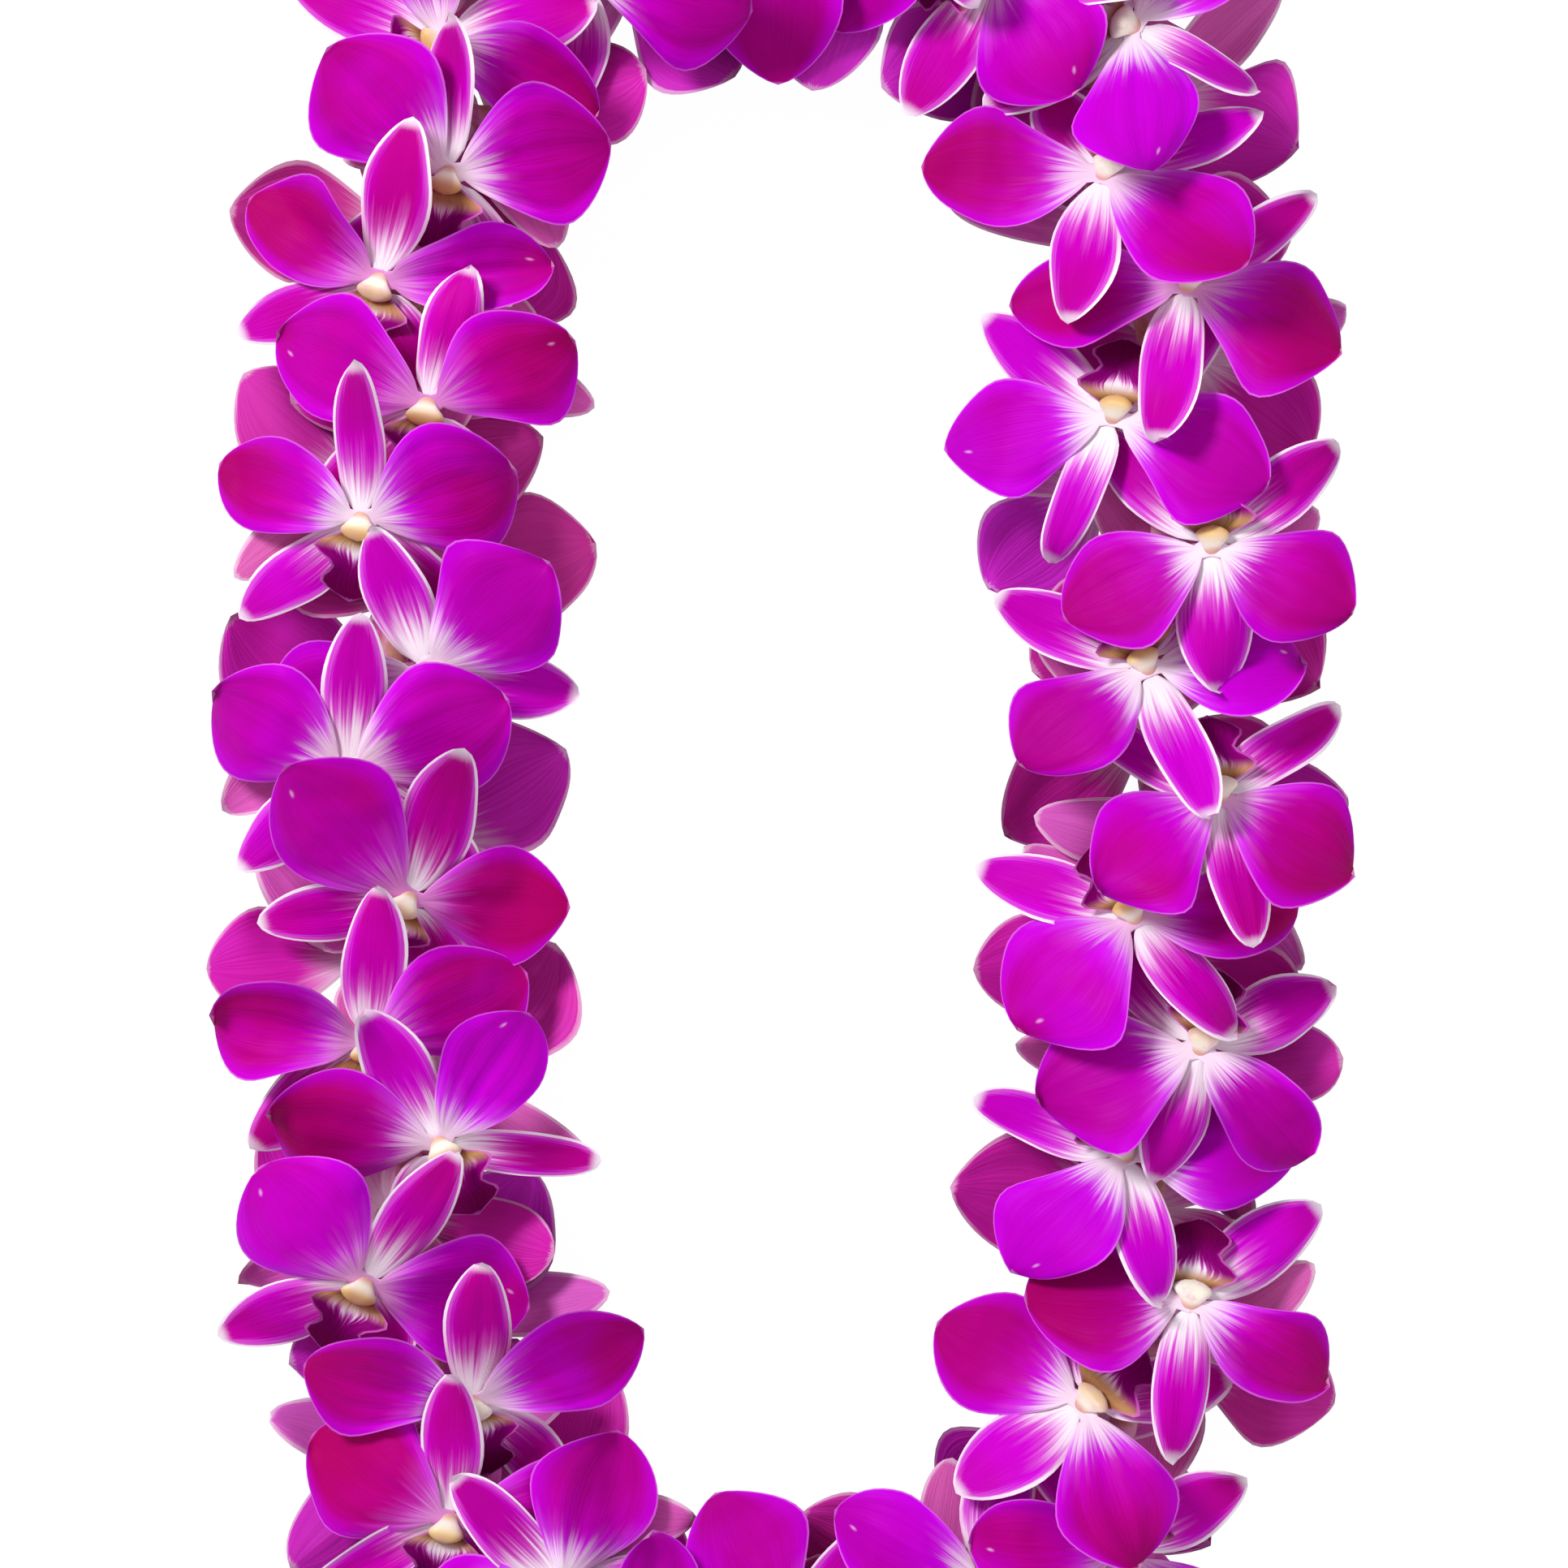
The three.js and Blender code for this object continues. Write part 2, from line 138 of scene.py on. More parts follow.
traits = {  # each trait's number in a draw, to which a blade adds the number of its arm
    "along": 1, "aside": 2, "roll": 3, "lean": 4, "height": 5, "side": 6, "lift": 7, "angle": 15, "twist": 27,
    "length": 37, "width": 44, "tone": 50, "columnTone": 56, "bloomTone": 57, "columnWidth": 58, "lop": 60,
    "phase": 70, "curl": 80, "ruffle": 90, "sleeve": 95, "cup": 100, "kite": 110, "fold": 120, "pleats": 130,
}
noise = {"perBloom": 12.9898, "perTrait": 78.233, "perRedraw": 3.17, "scale": 43758.5453}
firstDraw = 7500
redraws = [  # which draw each bloom takes, counted from the first, as in the part's source
    0, 72, 3, 8, 117, 86, 86, 142, 60, 0, 1, 0, 0, 6, 155, 91, 3, 0,
    2, 70, 167, 5, 12, 167, 19, 10, 2, 0, 135, 1, 57, 130, 111, 4, 119, 160,
    0, 0, 34, 3, 3, 0, 36, 1, 33, 1, 8, 0, 11, 0, 108, 1, 3, 0,
    0, 0, 1, 1, 6, 2, 204, 0, 0, 127, 63, 158, 133, 1, 2, 2, 94, 169,
]
foldShare = {"width": 0.45, "height": 0.6}
backCut = {"most": 0.45, "halfAngle": 0.42, "sharpness": 6}  # arms that point straight back are shorter
hubRadius, tipLift, floorShare = 3.0, 0.8, 0.75

narrowing = loop["halfWidth"] - loop["endRadius"]
sideOffset = (loop["endCentre"] ** 2 - narrowing ** 2) / (2 * narrowing)
sideRadius = loop["halfWidth"] + sideOffset
sideAngle = math.atan2(loop["endCentre"], sideOffset)
endSweep = math.pi - 2 * sideAngle
arcX = np.array([sideOffset, 0, -sideOffset, 0, sideOffset])
arcY = np.array([0, loop["endCentre"], 0, -loop["endCentre"], 0])
arcRadius = np.array([sideRadius, loop["endRadius"], sideRadius, loop["endRadius"], sideRadius])
arcStart = np.array([math.pi, math.pi - sideAngle, sideAngle, -sideAngle, sideAngle - math.pi])
arcSweep = np.array([sideAngle, endSweep, 2 * sideAngle, endSweep, sideAngle])
arcBefore = np.concatenate([[0], np.cumsum(arcRadius * arcSweep)[:-1]])
loopLength = float(np.sum(arcRadius * arcSweep))
halfStep = loopLength / (2 * loop["pairs"])


# A repeatable draw between -1 and 1: the fraction of a large sine of the bloom, the trait and the redraw
def draw(bloom, trait, arm=0):
    turn = bloom * noise["perBloom"] + (traits[trait] + arm) * noise["perTrait"]
    value = math.sin(turn + (firstDraw + redraws[bloom]) * noise["perRedraw"]) * noise["scale"]
    return 2 * (value - math.floor(value)) - 1


# Point, outward side and direction of the loop: each arc's centre plus its radius at the turned angle
def along(distance):
    place = np.mod(np.asarray(distance, float), loopLength)
    arc = np.searchsorted(arcBefore, place, side="right") - 1
    angle = arcStart[arc] - (place - arcBefore[arc]) / arcRadius[arc]
    outward = np.stack([np.cos(angle), np.sin(angle)], -1)
    point = np.stack([arcX[arc], arcY[arc]], -1) + outward * arcRadius[arc][..., None]
    return point, outward, np.stack([outward[..., 1], -outward[..., 0]], -1)


# The other way round: distance along the loop = radius x turned angle, outside = reach - radius
def locate(x, y):
    endAngle = np.arctan2(np.abs(x), np.abs(y) - loop["endCentre"])
    arc = np.where(x < 0, np.where(y < 0, 4, 0), 2)
    arc = np.where(endAngle < math.pi / 2 - sideAngle, np.where(y > 0, 1, 3), arc)
    passed = arcStart[arc] - np.arctan2(y - arcY[arc], x - arcX[arc])
    turn = passed - 2 * math.pi * np.round((passed - arcSweep[arc] / 2) / (2 * math.pi))
    return arcBefore[arc] + turn * arcRadius[arc], np.hypot(x - arcX[arc], y - arcY[arc]) - arcRadius[arc]


def makeBloom(index):
    distance = index * halfStep + spread["along"] * draw(index, "along")
    point, outward, ahead = along(distance)
    standsTo = 1 if index // 2 % 2 == 0 else -1  # two throats out, the next two in
    return {
        "index": index, "distance": distance, "point": point, "outward": outward, "ahead": ahead,
        "facing": 1 if index % 2 == 0 else -1,
        "aside": spread["zigzag"] * standsTo + spread["aside"] * draw(index, "aside"),
        "roll": spread["roll"] * draw(index, "roll"),
        "slope": math.tan(lie["leanAngle"]) + spread["lean"] * draw(index, "lean"),
        "rise": spread["height"] * draw(index, "height"),
        "side": spread["side"] * draw(index, "side"),
    }


# Height of a bloom's plate over the string's level: a droop to both sides, plus a slope along the
# loop that levels out by a tanh, never lower than the smoothed floor over the string
def plateHeight(bloom, x, y, lift, floorLift):
    distance, outside = locate(x, y)
    ahead = distance - bloom["distance"]
    ahead = ahead - loopLength * np.round(ahead / loopLength)
    limit = np.where(ahead > 0, lie["frontLimit"], lie["backLimit"])
    run = (ahead + limit * np.tanh(ahead / limit)) / 2
    droop = lie["throatHeight"] * (1 - (np.abs(outside) / lie["droopReach"]) ** lie["droopPower"])
    fade = 1 - lie["riseFade"] * np.minimum(1, (outside / lie["droopReach"]) ** 2)
    free = droop + bloom["slope"] * run * fade + bloom["rise"] + bloom["side"] * outside + lift
    clearance = lie["stringClearance"] * np.exp(-(outside / lie["clearanceWidth"]) ** 2)
    lowest = lie["familyGap"] + clearance + floorLift
    return (free + lowest + np.hypot(free - lowest, lie["blend"])) / 2


# Blooms underneath are pressed flatter: past a height, the rest of it fades out exponentially
def settled(height):
    over = np.maximum(height - lie["undersideStart"], 0)
    soft = lie["undersideSoftness"]
    return np.minimum(height, lie["undersideStart"]) + soft * (1 - np.exp(-over / soft))


# Plate coordinates (u towards the upper sepal, v aside) to places in space
def placeOnPlate(bloom, u, v, lift=0.0, floorLift=0.0, layer=0.0):
    forward, sideways = u * math.cos(lie["leanAngle"]), bloom["aside"] + v * lie["sideSqueeze"]
    x = bloom["point"][0] + bloom["ahead"][0] * forward + bloom["outward"][0] * sideways
    y = bloom["point"][1] + bloom["ahead"][1] * forward + bloom["outward"][1] * sideways
    height = plateHeight(bloom, x, y, lift, floorLift) + layer
    fall = height if bloom["facing"] > 0 else -settled(height)
    return np.stack([x, y, loop["stringHeight"] + fall], -1)


# Plate coordinates turned about the throat
def turned(u, v, angle):
    return u * math.cos(angle) - v * math.sin(angle), u * math.sin(angle) + v * math.cos(angle)


blooms = [makeBloom(index) for index in range(2 * loop["pairs"])]

# Blades: petals, sepals and lips
petalShape = {
    "length": 32.5, "halfWidth": 14.5, "skew": 1.25, "fullness": 0.66, "claw": 2.6, "stand": 1.3, "edge": 0.0,
    "kite": 0.3, "kiteAt": 0.6, "thick": 0.3, "keel": 0.8, "wave": 1.1, "waves": 1.4, "curl": 2.8,
    "dome": 1.7, "pleat": 0.34, "pleats": 2.3, "lop": 0.15, "root": 0.3, "baseRise": -0.5, "baseSpan": 5.0,
    "rows": 22, "columns": 18,
}
sepalShape = {
    "length": 31.0, "halfWidth": 7.3, "skew": 0.96, "fullness": 0.56, "claw": 1.7, "stand": -1.4,
    "edge": -0.3, "kite": 0.1, "kiteAt": 0.5, "thick": 0.32, "keel": 0.5, "wave": 0.45, "waves": 1.2,
    "curl": 2.4, "dome": 1.0, "pleat": 0.18, "pleats": 1.6, "lop": 0.1, "root": 0.0, "baseRise": 2.0,
    "baseSpan": 6.0, "rows": 18, "columns": 12,
}
tepalForm = {  # what petals and sepals share
    "clawPower": 5, "kiteSoftness": 0.35, "kitePower": 0.8, "kiteSpread": 0.8, "keelWidth": 0.2,
    "waveShear": 1.3, "pleatSpread": 0.3, "rimPower": 3,
}
lipShape = {
    "length": 15.0, "halfWidth": 8.4, "stand": 1.3, "edge": 4.4, "thick": 0.3, "claw": 2.0, "clawPower": 4,
    "sideLobeAt": 0.34, "sideLobeSpan": 0.2, "midLobeAt": 0.77, "midLobeSpan": 0.19, "midLobeSize": 0.82,
    "tipPower": 10, "troughLeast": 0.35, "troughLobes": 0.9, "ruffle": 0.55, "ruffles": 4.5,
    "ruffleShear": 2.0, "dip": 4.4, "dipFrom": 0.5, "root": 0.8, "rows": 18, "columns": 16,
}
petalAngle, lowerSepalAngle = 1.15, 2.35
groundGap, boxGap = 0.35, 0.1  # blades stay this far over the surface and inside the part's box
softStop = (3.0, 3.0, 0.3)  # how gently they are held there
evenShare = 0.4  # of a blade's stations, against the cosine's
tipShare = 0.7  # the share of the way to the tip that counts as the way to the rim
tipSteepness = 12  # a blade closes over its last twelfth
mapPad = 0.03  # free rim of each cell of the tidy map
creaseAngle = math.radians(75)  # edges sharper than this stay sharp


# Stations from 0 to 1, closer together at both ends: a blend of even steps and a cosine
def crowded(count, share=1 - evenShare):
    even = np.linspace(0, 1, count + 1)
    return (1 - share) * even + share * (1 - np.cos(math.pi * even)) / 2


# Petal and sepal outline: half width = widest x sin(pi x run^skew)^fullness, drawn towards a kite
# (a smoothed minimum of its two straight sides), plus a claw that fades
def tepalWidth(shape, run, station, kite):
    run = np.clip(run, 0, 1)
    rounded = np.maximum(np.sin(math.pi * run ** shape["skew"]), 0) ** shape["fullness"]
    rise, fall = run / shape["kiteAt"], (1 - run) / (1 - shape["kiteAt"])
    soft = tepalForm["kiteSoftness"]
    straight = (rise + fall - np.hypot(rise - fall, soft)) / 2
    straight = np.maximum(straight / (1 - soft / 2), 0) ** tepalForm["kitePower"]
    outline = (1 - kite) * rounded + kite * straight
    return shape["halfWidth"] * outline + shape["claw"] * (1 - station) ** tepalForm["clawPower"]


# How far a blade's floor over the string stands over the lowest blade's
def floorUnder(shape, run):
    return floorShare * (shape["stand"] - sepalShape["stand"]) * (1 - run ** 2)


# Way to the rim in millimetres, for the colours along it
def rimDistance(side, run, width, length):
    return np.minimum((1 - np.abs(side)) * width, (1 - run) * length * tipShare)


# A tepal: straight out at its angle, bent up or down by its dome, edge, twist, keel, pleats, waves
# and tip curl. A folded one is narrower, and its edges stand up by as much. All six meet at one level
# round the column.
def tepalSurface(bloom, shape, angle, arm):
    index, form = bloom["index"], tepalForm
    station = crowded(shape["rows"])[:, None]
    even = np.linspace(-1, 1, shape["columns"] + 1)[None, :]
    side = 0.5 * np.sin(math.pi / 2 * even) + 0.5 * even
    angle = angle + spread["angle"] * draw(index, "angle", arm)
    off = abs(bloom["roll"] + angle - math.pi) / backCut["halfAngle"]
    length = shape["length"] * (1 - backCut["most"] / (1 + off ** backCut["sharpness"]))
    length = length * (1 + spread["length"] * draw(index, "length", arm))
    reach = shape["root"] + station * (hubRadius + length - shape["root"])
    run = np.clip((reach - hubRadius) / length, 0, 1)
    lop = 1 + shape["lop"] * draw(index, "lop", arm) * side * np.sin(2 * math.pi * run)
    kite = shape["kite"] * (1 + form["kiteSpread"] * draw(index, "kite", arm))
    wider = 1 + spread["width"] * draw(index, "width", arm)
    fold = spread["fold"] * max(draw(index, "fold", arm), 0.0)
    width = tepalWidth(shape, run, station, kite) * lop * wider
    swell = np.sin(math.pi * run)
    across = side * width * (1 - foldShare["width"] * fold * swell)
    u, v = turned(reach, across, bloom["roll"] + angle)
    rim = np.abs(side) ** form["rimPower"]
    phase = math.pi * draw(index, "phase", arm)
    wave = np.sin(2 * math.pi * shape["waves"] * run + phase + form["waveShear"] * side)
    wave = shape["wave"] * rim * swell * wave
    keel = -shape["keel"] * np.exp(-(side / form["keelWidth"]) ** 2) * swell
    pleats = shape["pleats"] * (1 + form["pleatSpread"] * draw(index, "pleats", arm))
    pleat = shape["pleat"] * np.cos(2 * math.pi * pleats * side + 2 * phase) * swell
    dome = shape["dome"] * (1 - side ** 2) * swell
    lift = shape["stand"] + (tipLift + spread["lift"] * draw(index, "lift", arm)) * run ** 2
    share = wider * shape["halfWidth"] / petalShape["halfWidth"]
    raised = shape["edge"] + spread["cup"] * share * draw(index, "cup", arm)
    raised = raised + foldShare["height"] * fold * wider * shape["halfWidth"]
    lift = lift + raised * side ** 2 * swell + spread["twist"] * draw(index, "twist", arm) * side * run ** 2
    lift = lift + wave + keel + pleat + dome + shape["curl"] * draw(index, "curl", arm) * run ** 4
    lift = lift + shape["baseRise"] * np.exp(-(reach / shape["baseSpan"]) ** 2)
    middle = placeOnPlate(bloom, u, v, lift, floorUnder(shape, run))
    return middle, side + 0 * station, station + 0 * side, rimDistance(side, run, width, length)


# The lip: half width = two bell curves, for its side lobes and its broad end, closed by a round tip.
# It stands up at both sides as a trough, and its end dips and ruffles.
def lipSurface(bloom, shape, angle, arm):
    station = crowded(shape["rows"])[:, None]
    side = np.linspace(-1, 1, shape["columns"] + 1)[None, :]
    reach = shape["root"] + station * (hubRadius + shape["length"] - shape["root"])
    run = np.clip((reach - hubRadius) / shape["length"], 0, 1)
    sideLobe = np.exp(-((station - shape["sideLobeAt"]) / shape["sideLobeSpan"]) ** 2)
    midLobe = shape["midLobeSize"] * np.exp(-((station - shape["midLobeAt"]) / shape["midLobeSpan"]) ** 2)
    roundTip = np.sqrt(np.maximum(1 - station ** shape["tipPower"], 0))
    width = shape["halfWidth"] * (sideLobe + midLobe) * roundTip
    width = width + shape["claw"] * (1 - station) ** shape["clawPower"]
    u, v = turned(reach, side * width, bloom["roll"] + angle)
    phase = math.pi * draw(bloom["index"], "ruffle")
    ruffle = np.sin(2 * math.pi * shape["ruffles"] * station + phase + shape["ruffleShear"] * side)
    ruffle = shape["ruffle"] * side ** 4 * midLobe * ruffle
    trough = shape["troughLeast"] + shape["troughLobes"] * sideLobe
    trough = shape["edge"] * side ** 2 * np.sin(math.pi * run) * trough
    dip = shape["dip"] * np.clip(run - shape["dipFrom"], 0, 1) ** 2
    middle = placeOnPlate(bloom, u, v, shape["stand"] + trough + ruffle - dip, floorUnder(shape, run))
    return middle, side + 0 * station, station + 0 * side, rimDistance(side, run, width, shape["length"])


# Gives a middle surface its thickness along its own normals: full in the middle, none at the rim.
# It is first held inside the part's box by a smoothed maximum and a smoothed minimum.
def thickened(bloom, middle, side, station, thick):
    soft = np.array(softStop)
    low = np.array(cadBox[0]) / mm + (boxGap, boxGap, groundGap) + thick
    high = np.array(cadBox[1]) / mm - boxGap - thick
    middle = (middle + low + np.hypot(middle - low, soft)) / 2
    middle = (middle + high - np.hypot(middle - high, soft)) / 2
    normal = np.cross(np.gradient(middle, axis=0), np.gradient(middle, axis=1))
    normal /= np.maximum(np.linalg.norm(normal, axis=-1, keepdims=True), 1e-9)
    body = thick * np.sqrt(np.maximum(1 - side ** 4, 0)) * np.minimum(1, (1 - station) * tipSteepness)
    offset = bloom["facing"] * normal * body[..., None]
    return middle + offset, middle - offset


# Faces of one closed blade: over and under share their rim, and all columns meet in one tip
def bladeFaces(rows, columns):
    over = np.arange(rows * (columns + 1)).reshape(rows, columns + 1)
    tip = over.size
    under = over.copy()
    under[1:, 1:columns] = tip + 1 + np.arange((rows - 1) * (columns - 1)).reshape(rows - 1, columns - 1)
    sheets = []
    for grid, reverse in ((over, False), (under, True)):
        quads = np.stack([grid[:-1, :-1], grid[1:, :-1], grid[1:, 1:], grid[:-1, 1:]], -1).reshape(-1, 4)
        ends = np.stack([grid[-1, :-1], np.full(columns, tip), grid[-1, 1:]], -1)
        sheets.append((quads[:, ::-1], ends[:, ::-1]) if reverse else (quads, ends))
    return sheets


# The same order for a value on both grids of a blade: the rows over, the tip, then what is inside under
def gathered(over, under):
    rows, columns = over.shape[0] - 1, over.shape[1] - 1
    kind = over.shape[2:]
    inner = under[1:rows, 1:columns]
    return np.concatenate([over[:rows].reshape(-1, *kind), over[rows, :1], inner.reshape(-1, *kind)])


# A mesh from its points, its faces' corners in one row, where each face starts in it, and each one's paint
def meshFrom(name, points, corners, firsts, sheets):
    mesh = bpy.data.meshes.new(name)
    mesh.vertices.add(len(points))
    mesh.vertices.foreach_set("co", (points * mm).ravel().astype(np.float32))
    mesh.loops.add(len(corners))
    mesh.loops.foreach_set("vertex_index", corners.astype(np.int32))
    mesh.polygons.add(len(firsts))
    mesh.polygons.foreach_set("loop_start", firsts.astype(np.int32))
    mesh.polygons.foreach_set("material_index", sheets.astype(np.int32))
    mesh.update(calc_edges=True)
    mesh.validate()
    return mesh


def addMap(mesh, name, places):
    mesh.uv_layers.new(name=name).data.foreach_set("uv", places.ravel().astype(np.float32))


def addValues(mesh, name, values):
    pointValues = mesh.attributes.new(name, "FLOAT", "POINT").data
    pointValues.foreach_set("value", np.concatenate(values).astype(np.float32))


def finishPiece(name, mesh, paints):
    for paint in paints:
        mesh.materials.append(paint)
    mesh.shade_smooth()
    mesh.set_sharp_from_angle(angle=creaseAngle)
    piece = bpy.data.objects.new(name, mesh)
    scene.collection.objects.link(piece)
    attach(piece, "root")
    return piece


# One mesh from many closed blades, with its maps: across and along each blade, and a tidy sheet of cells
def addBlades(name, blades, shape, paints, cells):
    tip = shape["rows"] * (shape["columns"] + 1)
    points, acrosses, alongs, rims, tones, bloomTones = [], [], [], [], [], []
    corners, firsts, sheetOf, cellPlaces = [], [], [], []
    pointCount = cornerCount = 0
    for number, (bloom, surface, tone) in enumerate(blades):
        middle, side, station, rim = surface
        points.append(gathered(*thickened(bloom, middle, side, station, shape["thick"])))
        across, run = gathered(side, side), gathered(station, station)
        acrosses.append(across)
        alongs.append(run)
        rims.append(gathered(rim, rim))
        tones.append(np.full(len(across), tone))
        bloomTones.append(np.full(len(across), draw(bloom["index"], "bloomTone")))
        for sheet, faceSets in enumerate(bladeFaces(shape["rows"], shape["columns"])):
            cell = 2 * number + sheet
            cellCorner = np.array([cell % cells[0], cell // cells[0]]) / cells
            for faces in faceSets:
                faces = faces if bloom["facing"] > 0 else faces[:, ::-1]
                row = faces.reshape(-1)
                place = np.stack([(across[row] + 1) / 2, run[row]], -1)
                atTip = row == tip
                if atTip.any():  # the tip stands over the middle of each face that ends in it
                    pairSide = across[faces[~atTip.reshape(faces.shape)]].reshape(-1, 2).mean(1)
                    place[atTip, 0] = (pairSide + 1) / 2
                cellPlaces.append(cellCorner + (mapPad + place * (1 - 2 * mapPad)) / cells)
                corners.append(row + pointCount)
                firsts.append(cornerCount + faces.shape[1] * np.arange(len(faces)))
                sheetOf.append(np.full(len(faces), sheet))
                cornerCount += row.size
        pointCount += len(across)
    corners = np.concatenate(corners)
    mesh = meshFrom(name, np.concatenate(points), corners, np.concatenate(firsts), np.concatenate(sheetOf))
    bladePlaces = np.stack([np.concatenate(acrosses)[corners], np.concatenate(alongs)[corners]], -1)
    addMap(mesh, "bladeMap", bladePlaces)
    addMap(mesh, "OFBake", np.concatenate(cellPlaces))
    addValues(mesh, "rim", rims)
    addValues(mesh, "tone", tones)
    addValues(mesh, "bloomTone", bloomTones)
    return finishPiece(name, mesh, paints)


# Tubes: columns, chins, sleeves and string
# Joins closed tubes, each a grid of rings by corners, with a pole at both ends
def addTubes(name, tubes, paint):
    points, quads, ends, maps, endMaps, tones = [], [], [], [], [], []
    count = 0
    for rings, tone in tubes:
        ringCount, sides = rings.shape[:2]
        grid = np.arange(ringCount * sides).reshape(ringCount, sides) + count
        nextSide = np.roll(grid, -1, axis=1)
        quads.append(np.stack([grid[:-1], nextSide[:-1], nextSide[1:], grid[1:]], -1).reshape(-1, 4))
        low, high = count + grid.size, count + grid.size + 1
        ends.append(np.stack([np.full(sides, low), nextSide[0], grid[0]], -1))
        ends.append(np.stack([np.full(sides, high), grid[-1], nextSide[-1]], -1))
        points += [rings.reshape(-1, 3), rings[0].mean(0, keepdims=True), rings[-1].mean(0, keepdims=True)]
        run, step = np.linspace(0, 1, ringCount), np.arange(sides) / sides
        faceMap = np.empty((ringCount - 1, sides, 4, 2))
        faceMap[..., 0] = np.stack([step, step + 1 / sides, step + 1 / sides, step], -1)
        faceMap[..., 1] = np.stack([run[:-1], run[:-1], run[1:], run[1:]], -1)[:, None]
        maps.append(faceMap.reshape(-1, 2))
        for value in (0.0, 1.0):
            endMaps.append(np.stack([np.repeat(step, 3), np.full(3 * sides, value)], -1))
        tones.append(np.full(grid.size + 2, tone))
        count += grid.size + 2
    quads, ends = np.concatenate(quads), np.concatenate(ends)
    corners = np.concatenate([quads.ravel(), ends.ravel()])
    firsts = np.concatenate([4 * np.arange(len(quads)), quads.size + 3 * np.arange(len(ends))])
    mesh = meshFrom(name, np.concatenate(points), corners, firsts, np.zeros(len(firsts)))
    addMap(mesh, "tubeMap", np.concatenate(maps + endMaps))
    addValues(mesh, "tone", tones)
    return finishPiece(name, mesh, [paint])


columnShape = {
    "back": 1.6, "front": -4.6, "low": 0.5, "high": 3.2, "halfWidth": 3.9, "halfDepth": 1.8, "slimmest": 0.4,
    "widestAt": 0.68, "widestSpan": 0.36, "closePower": 7, "closeFrom": 1.0001,
    "groove": 0.22, "grooveSpan": 0.35, "boxy": 0.72, "spread": 0.12, "rings": 16, "sides": 20,
}
chinShape = {
    "topRadius": 3.4, "topDrop": 1.0, "footRadius": 1.6, "footHeight": 1.4, "pinch": 0.25,
    "rings": 7, "sides": 12,
}
sleeveShape = {
    "radius": 2.7, "reach": 0.47, "knotRoom": 0.26, "bulge": 0.075, "bulges": 9, "phase": 3, "closePower": 14,
    "closeTo": 0.05, "evenShare": 0.2, "rings": 25, "sides": 12,
}


# A column: a hood that leans towards the lip. Its middle rises by a sine from back to front, and its
# rings are boxy ellipses across that path, widest past the middle, closed bluntly at the front and
# grooved down the middle of their upper side.
def columnRings(bloom):
    shape = columnShape
    run = np.linspace(0, 1, shape["rings"])[:, None]
    turn = 2 * math.pi * np.arange(shape["sides"])[None, :] / shape["sides"]
    length = shape["front"] - shape["back"]
    middleU = shape["back"] + length * run
    middleHigh = shape["low"] + (shape["high"] - shape["low"]) * np.sin(math.pi / 2 * run)
    slope = (shape["high"] - shape["low"]) * math.pi / 2 * np.cos(math.pi / 2 * run) / length
    swell = np.exp(-((run - shape["widestAt"]) / shape["widestSpan"]) ** 2)
    outline = shape["slimmest"] + (1 - shape["slimmest"]) * swell
    outline = outline * np.sqrt(np.maximum(shape["closeFrom"] - run ** shape["closePower"], 0))
    groove = 1 - shape["groove"] * np.exp(-((turn - math.pi / 2) / shape["grooveSpan"]) ** 2) * run
    deep = shape["halfDepth"] * outline * groove * np.sin(turn)
    flank = np.sign(np.cos(turn)) * np.abs(np.cos(turn)) ** shape["boxy"]
    wider = 1 + shape["spread"] * draw(bloom["index"], "columnWidth")
    u = middleU - deep * slope / np.hypot(1, slope)
    v = -bloom["facing"] * shape["halfWidth"] * wider * outline * flank
    layer = middleHigh + deep / np.hypot(1, slope)
    return placeOnPlate(bloom, *turned(u, v, bloom["roll"]), layer=layer)


# The string's place at a count of half steps
def stringPoint(count):
    point, outward, ahead = along(np.asarray(count, float) * halfStep)
    return np.concatenate([point, np.full((*point.shape[:-1], 1), loop["stringHeight"])], -1), outward, ahead


# A chin: straight lines from a ring under the bloom to a ring on the sleeve, pinched in between
def chinRings(bloom):
    shape = chinShape
    turn = 2 * math.pi * np.arange(shape["sides"]) / shape["sides"] * bloom["facing"]
    ahead, aside = np.cos(turn), np.sin(turn)
    top = placeOnPlate(bloom, shape["topRadius"] * ahead, shape["topRadius"] * aside, layer=-shape["topDrop"])
    point, _, _ = stringPoint(bloom["distance"] / halfStep)
    flat = shape["footRadius"] * (ahead[:, None] * bloom["ahead"] + aside[:, None] * bloom["outward"])
    level = np.full((len(turn), 1), point[2] + bloom["facing"] * shape["footHeight"])
    foot = np.concatenate([point[:2] + flat, level], -1)
    run = np.linspace(0, 1, shape["rings"])[:, None, None]
    rings = foot + (top - foot) * run
    middle = rings.mean(1, keepdims=True)
    return middle + (rings - middle) * (1 - shape["pinch"] * np.sin(math.pi * run))


# A tube round the string: rings across it at each count, with a radius for each
def tubeRound(counts, radii, sides, twist=0.0, flute=0.0, flutes=3):
    point, outward, _ = stringPoint(counts)
    turn = 2 * math.pi * np.arange(sides) / sides
    angle = turn[None, :] + 0 * counts[:, None]
    wide = radii[:, None] * (1 + flute * np.cos(flutes * (angle - twist * counts[:, None])))
    flat = (wide * np.cos(angle))[..., None] * outward[:, None, :]
    high = (wide * np.sin(angle))[..., None]
    return point[:, None, :] + np.concatenate([flat, high], -1)


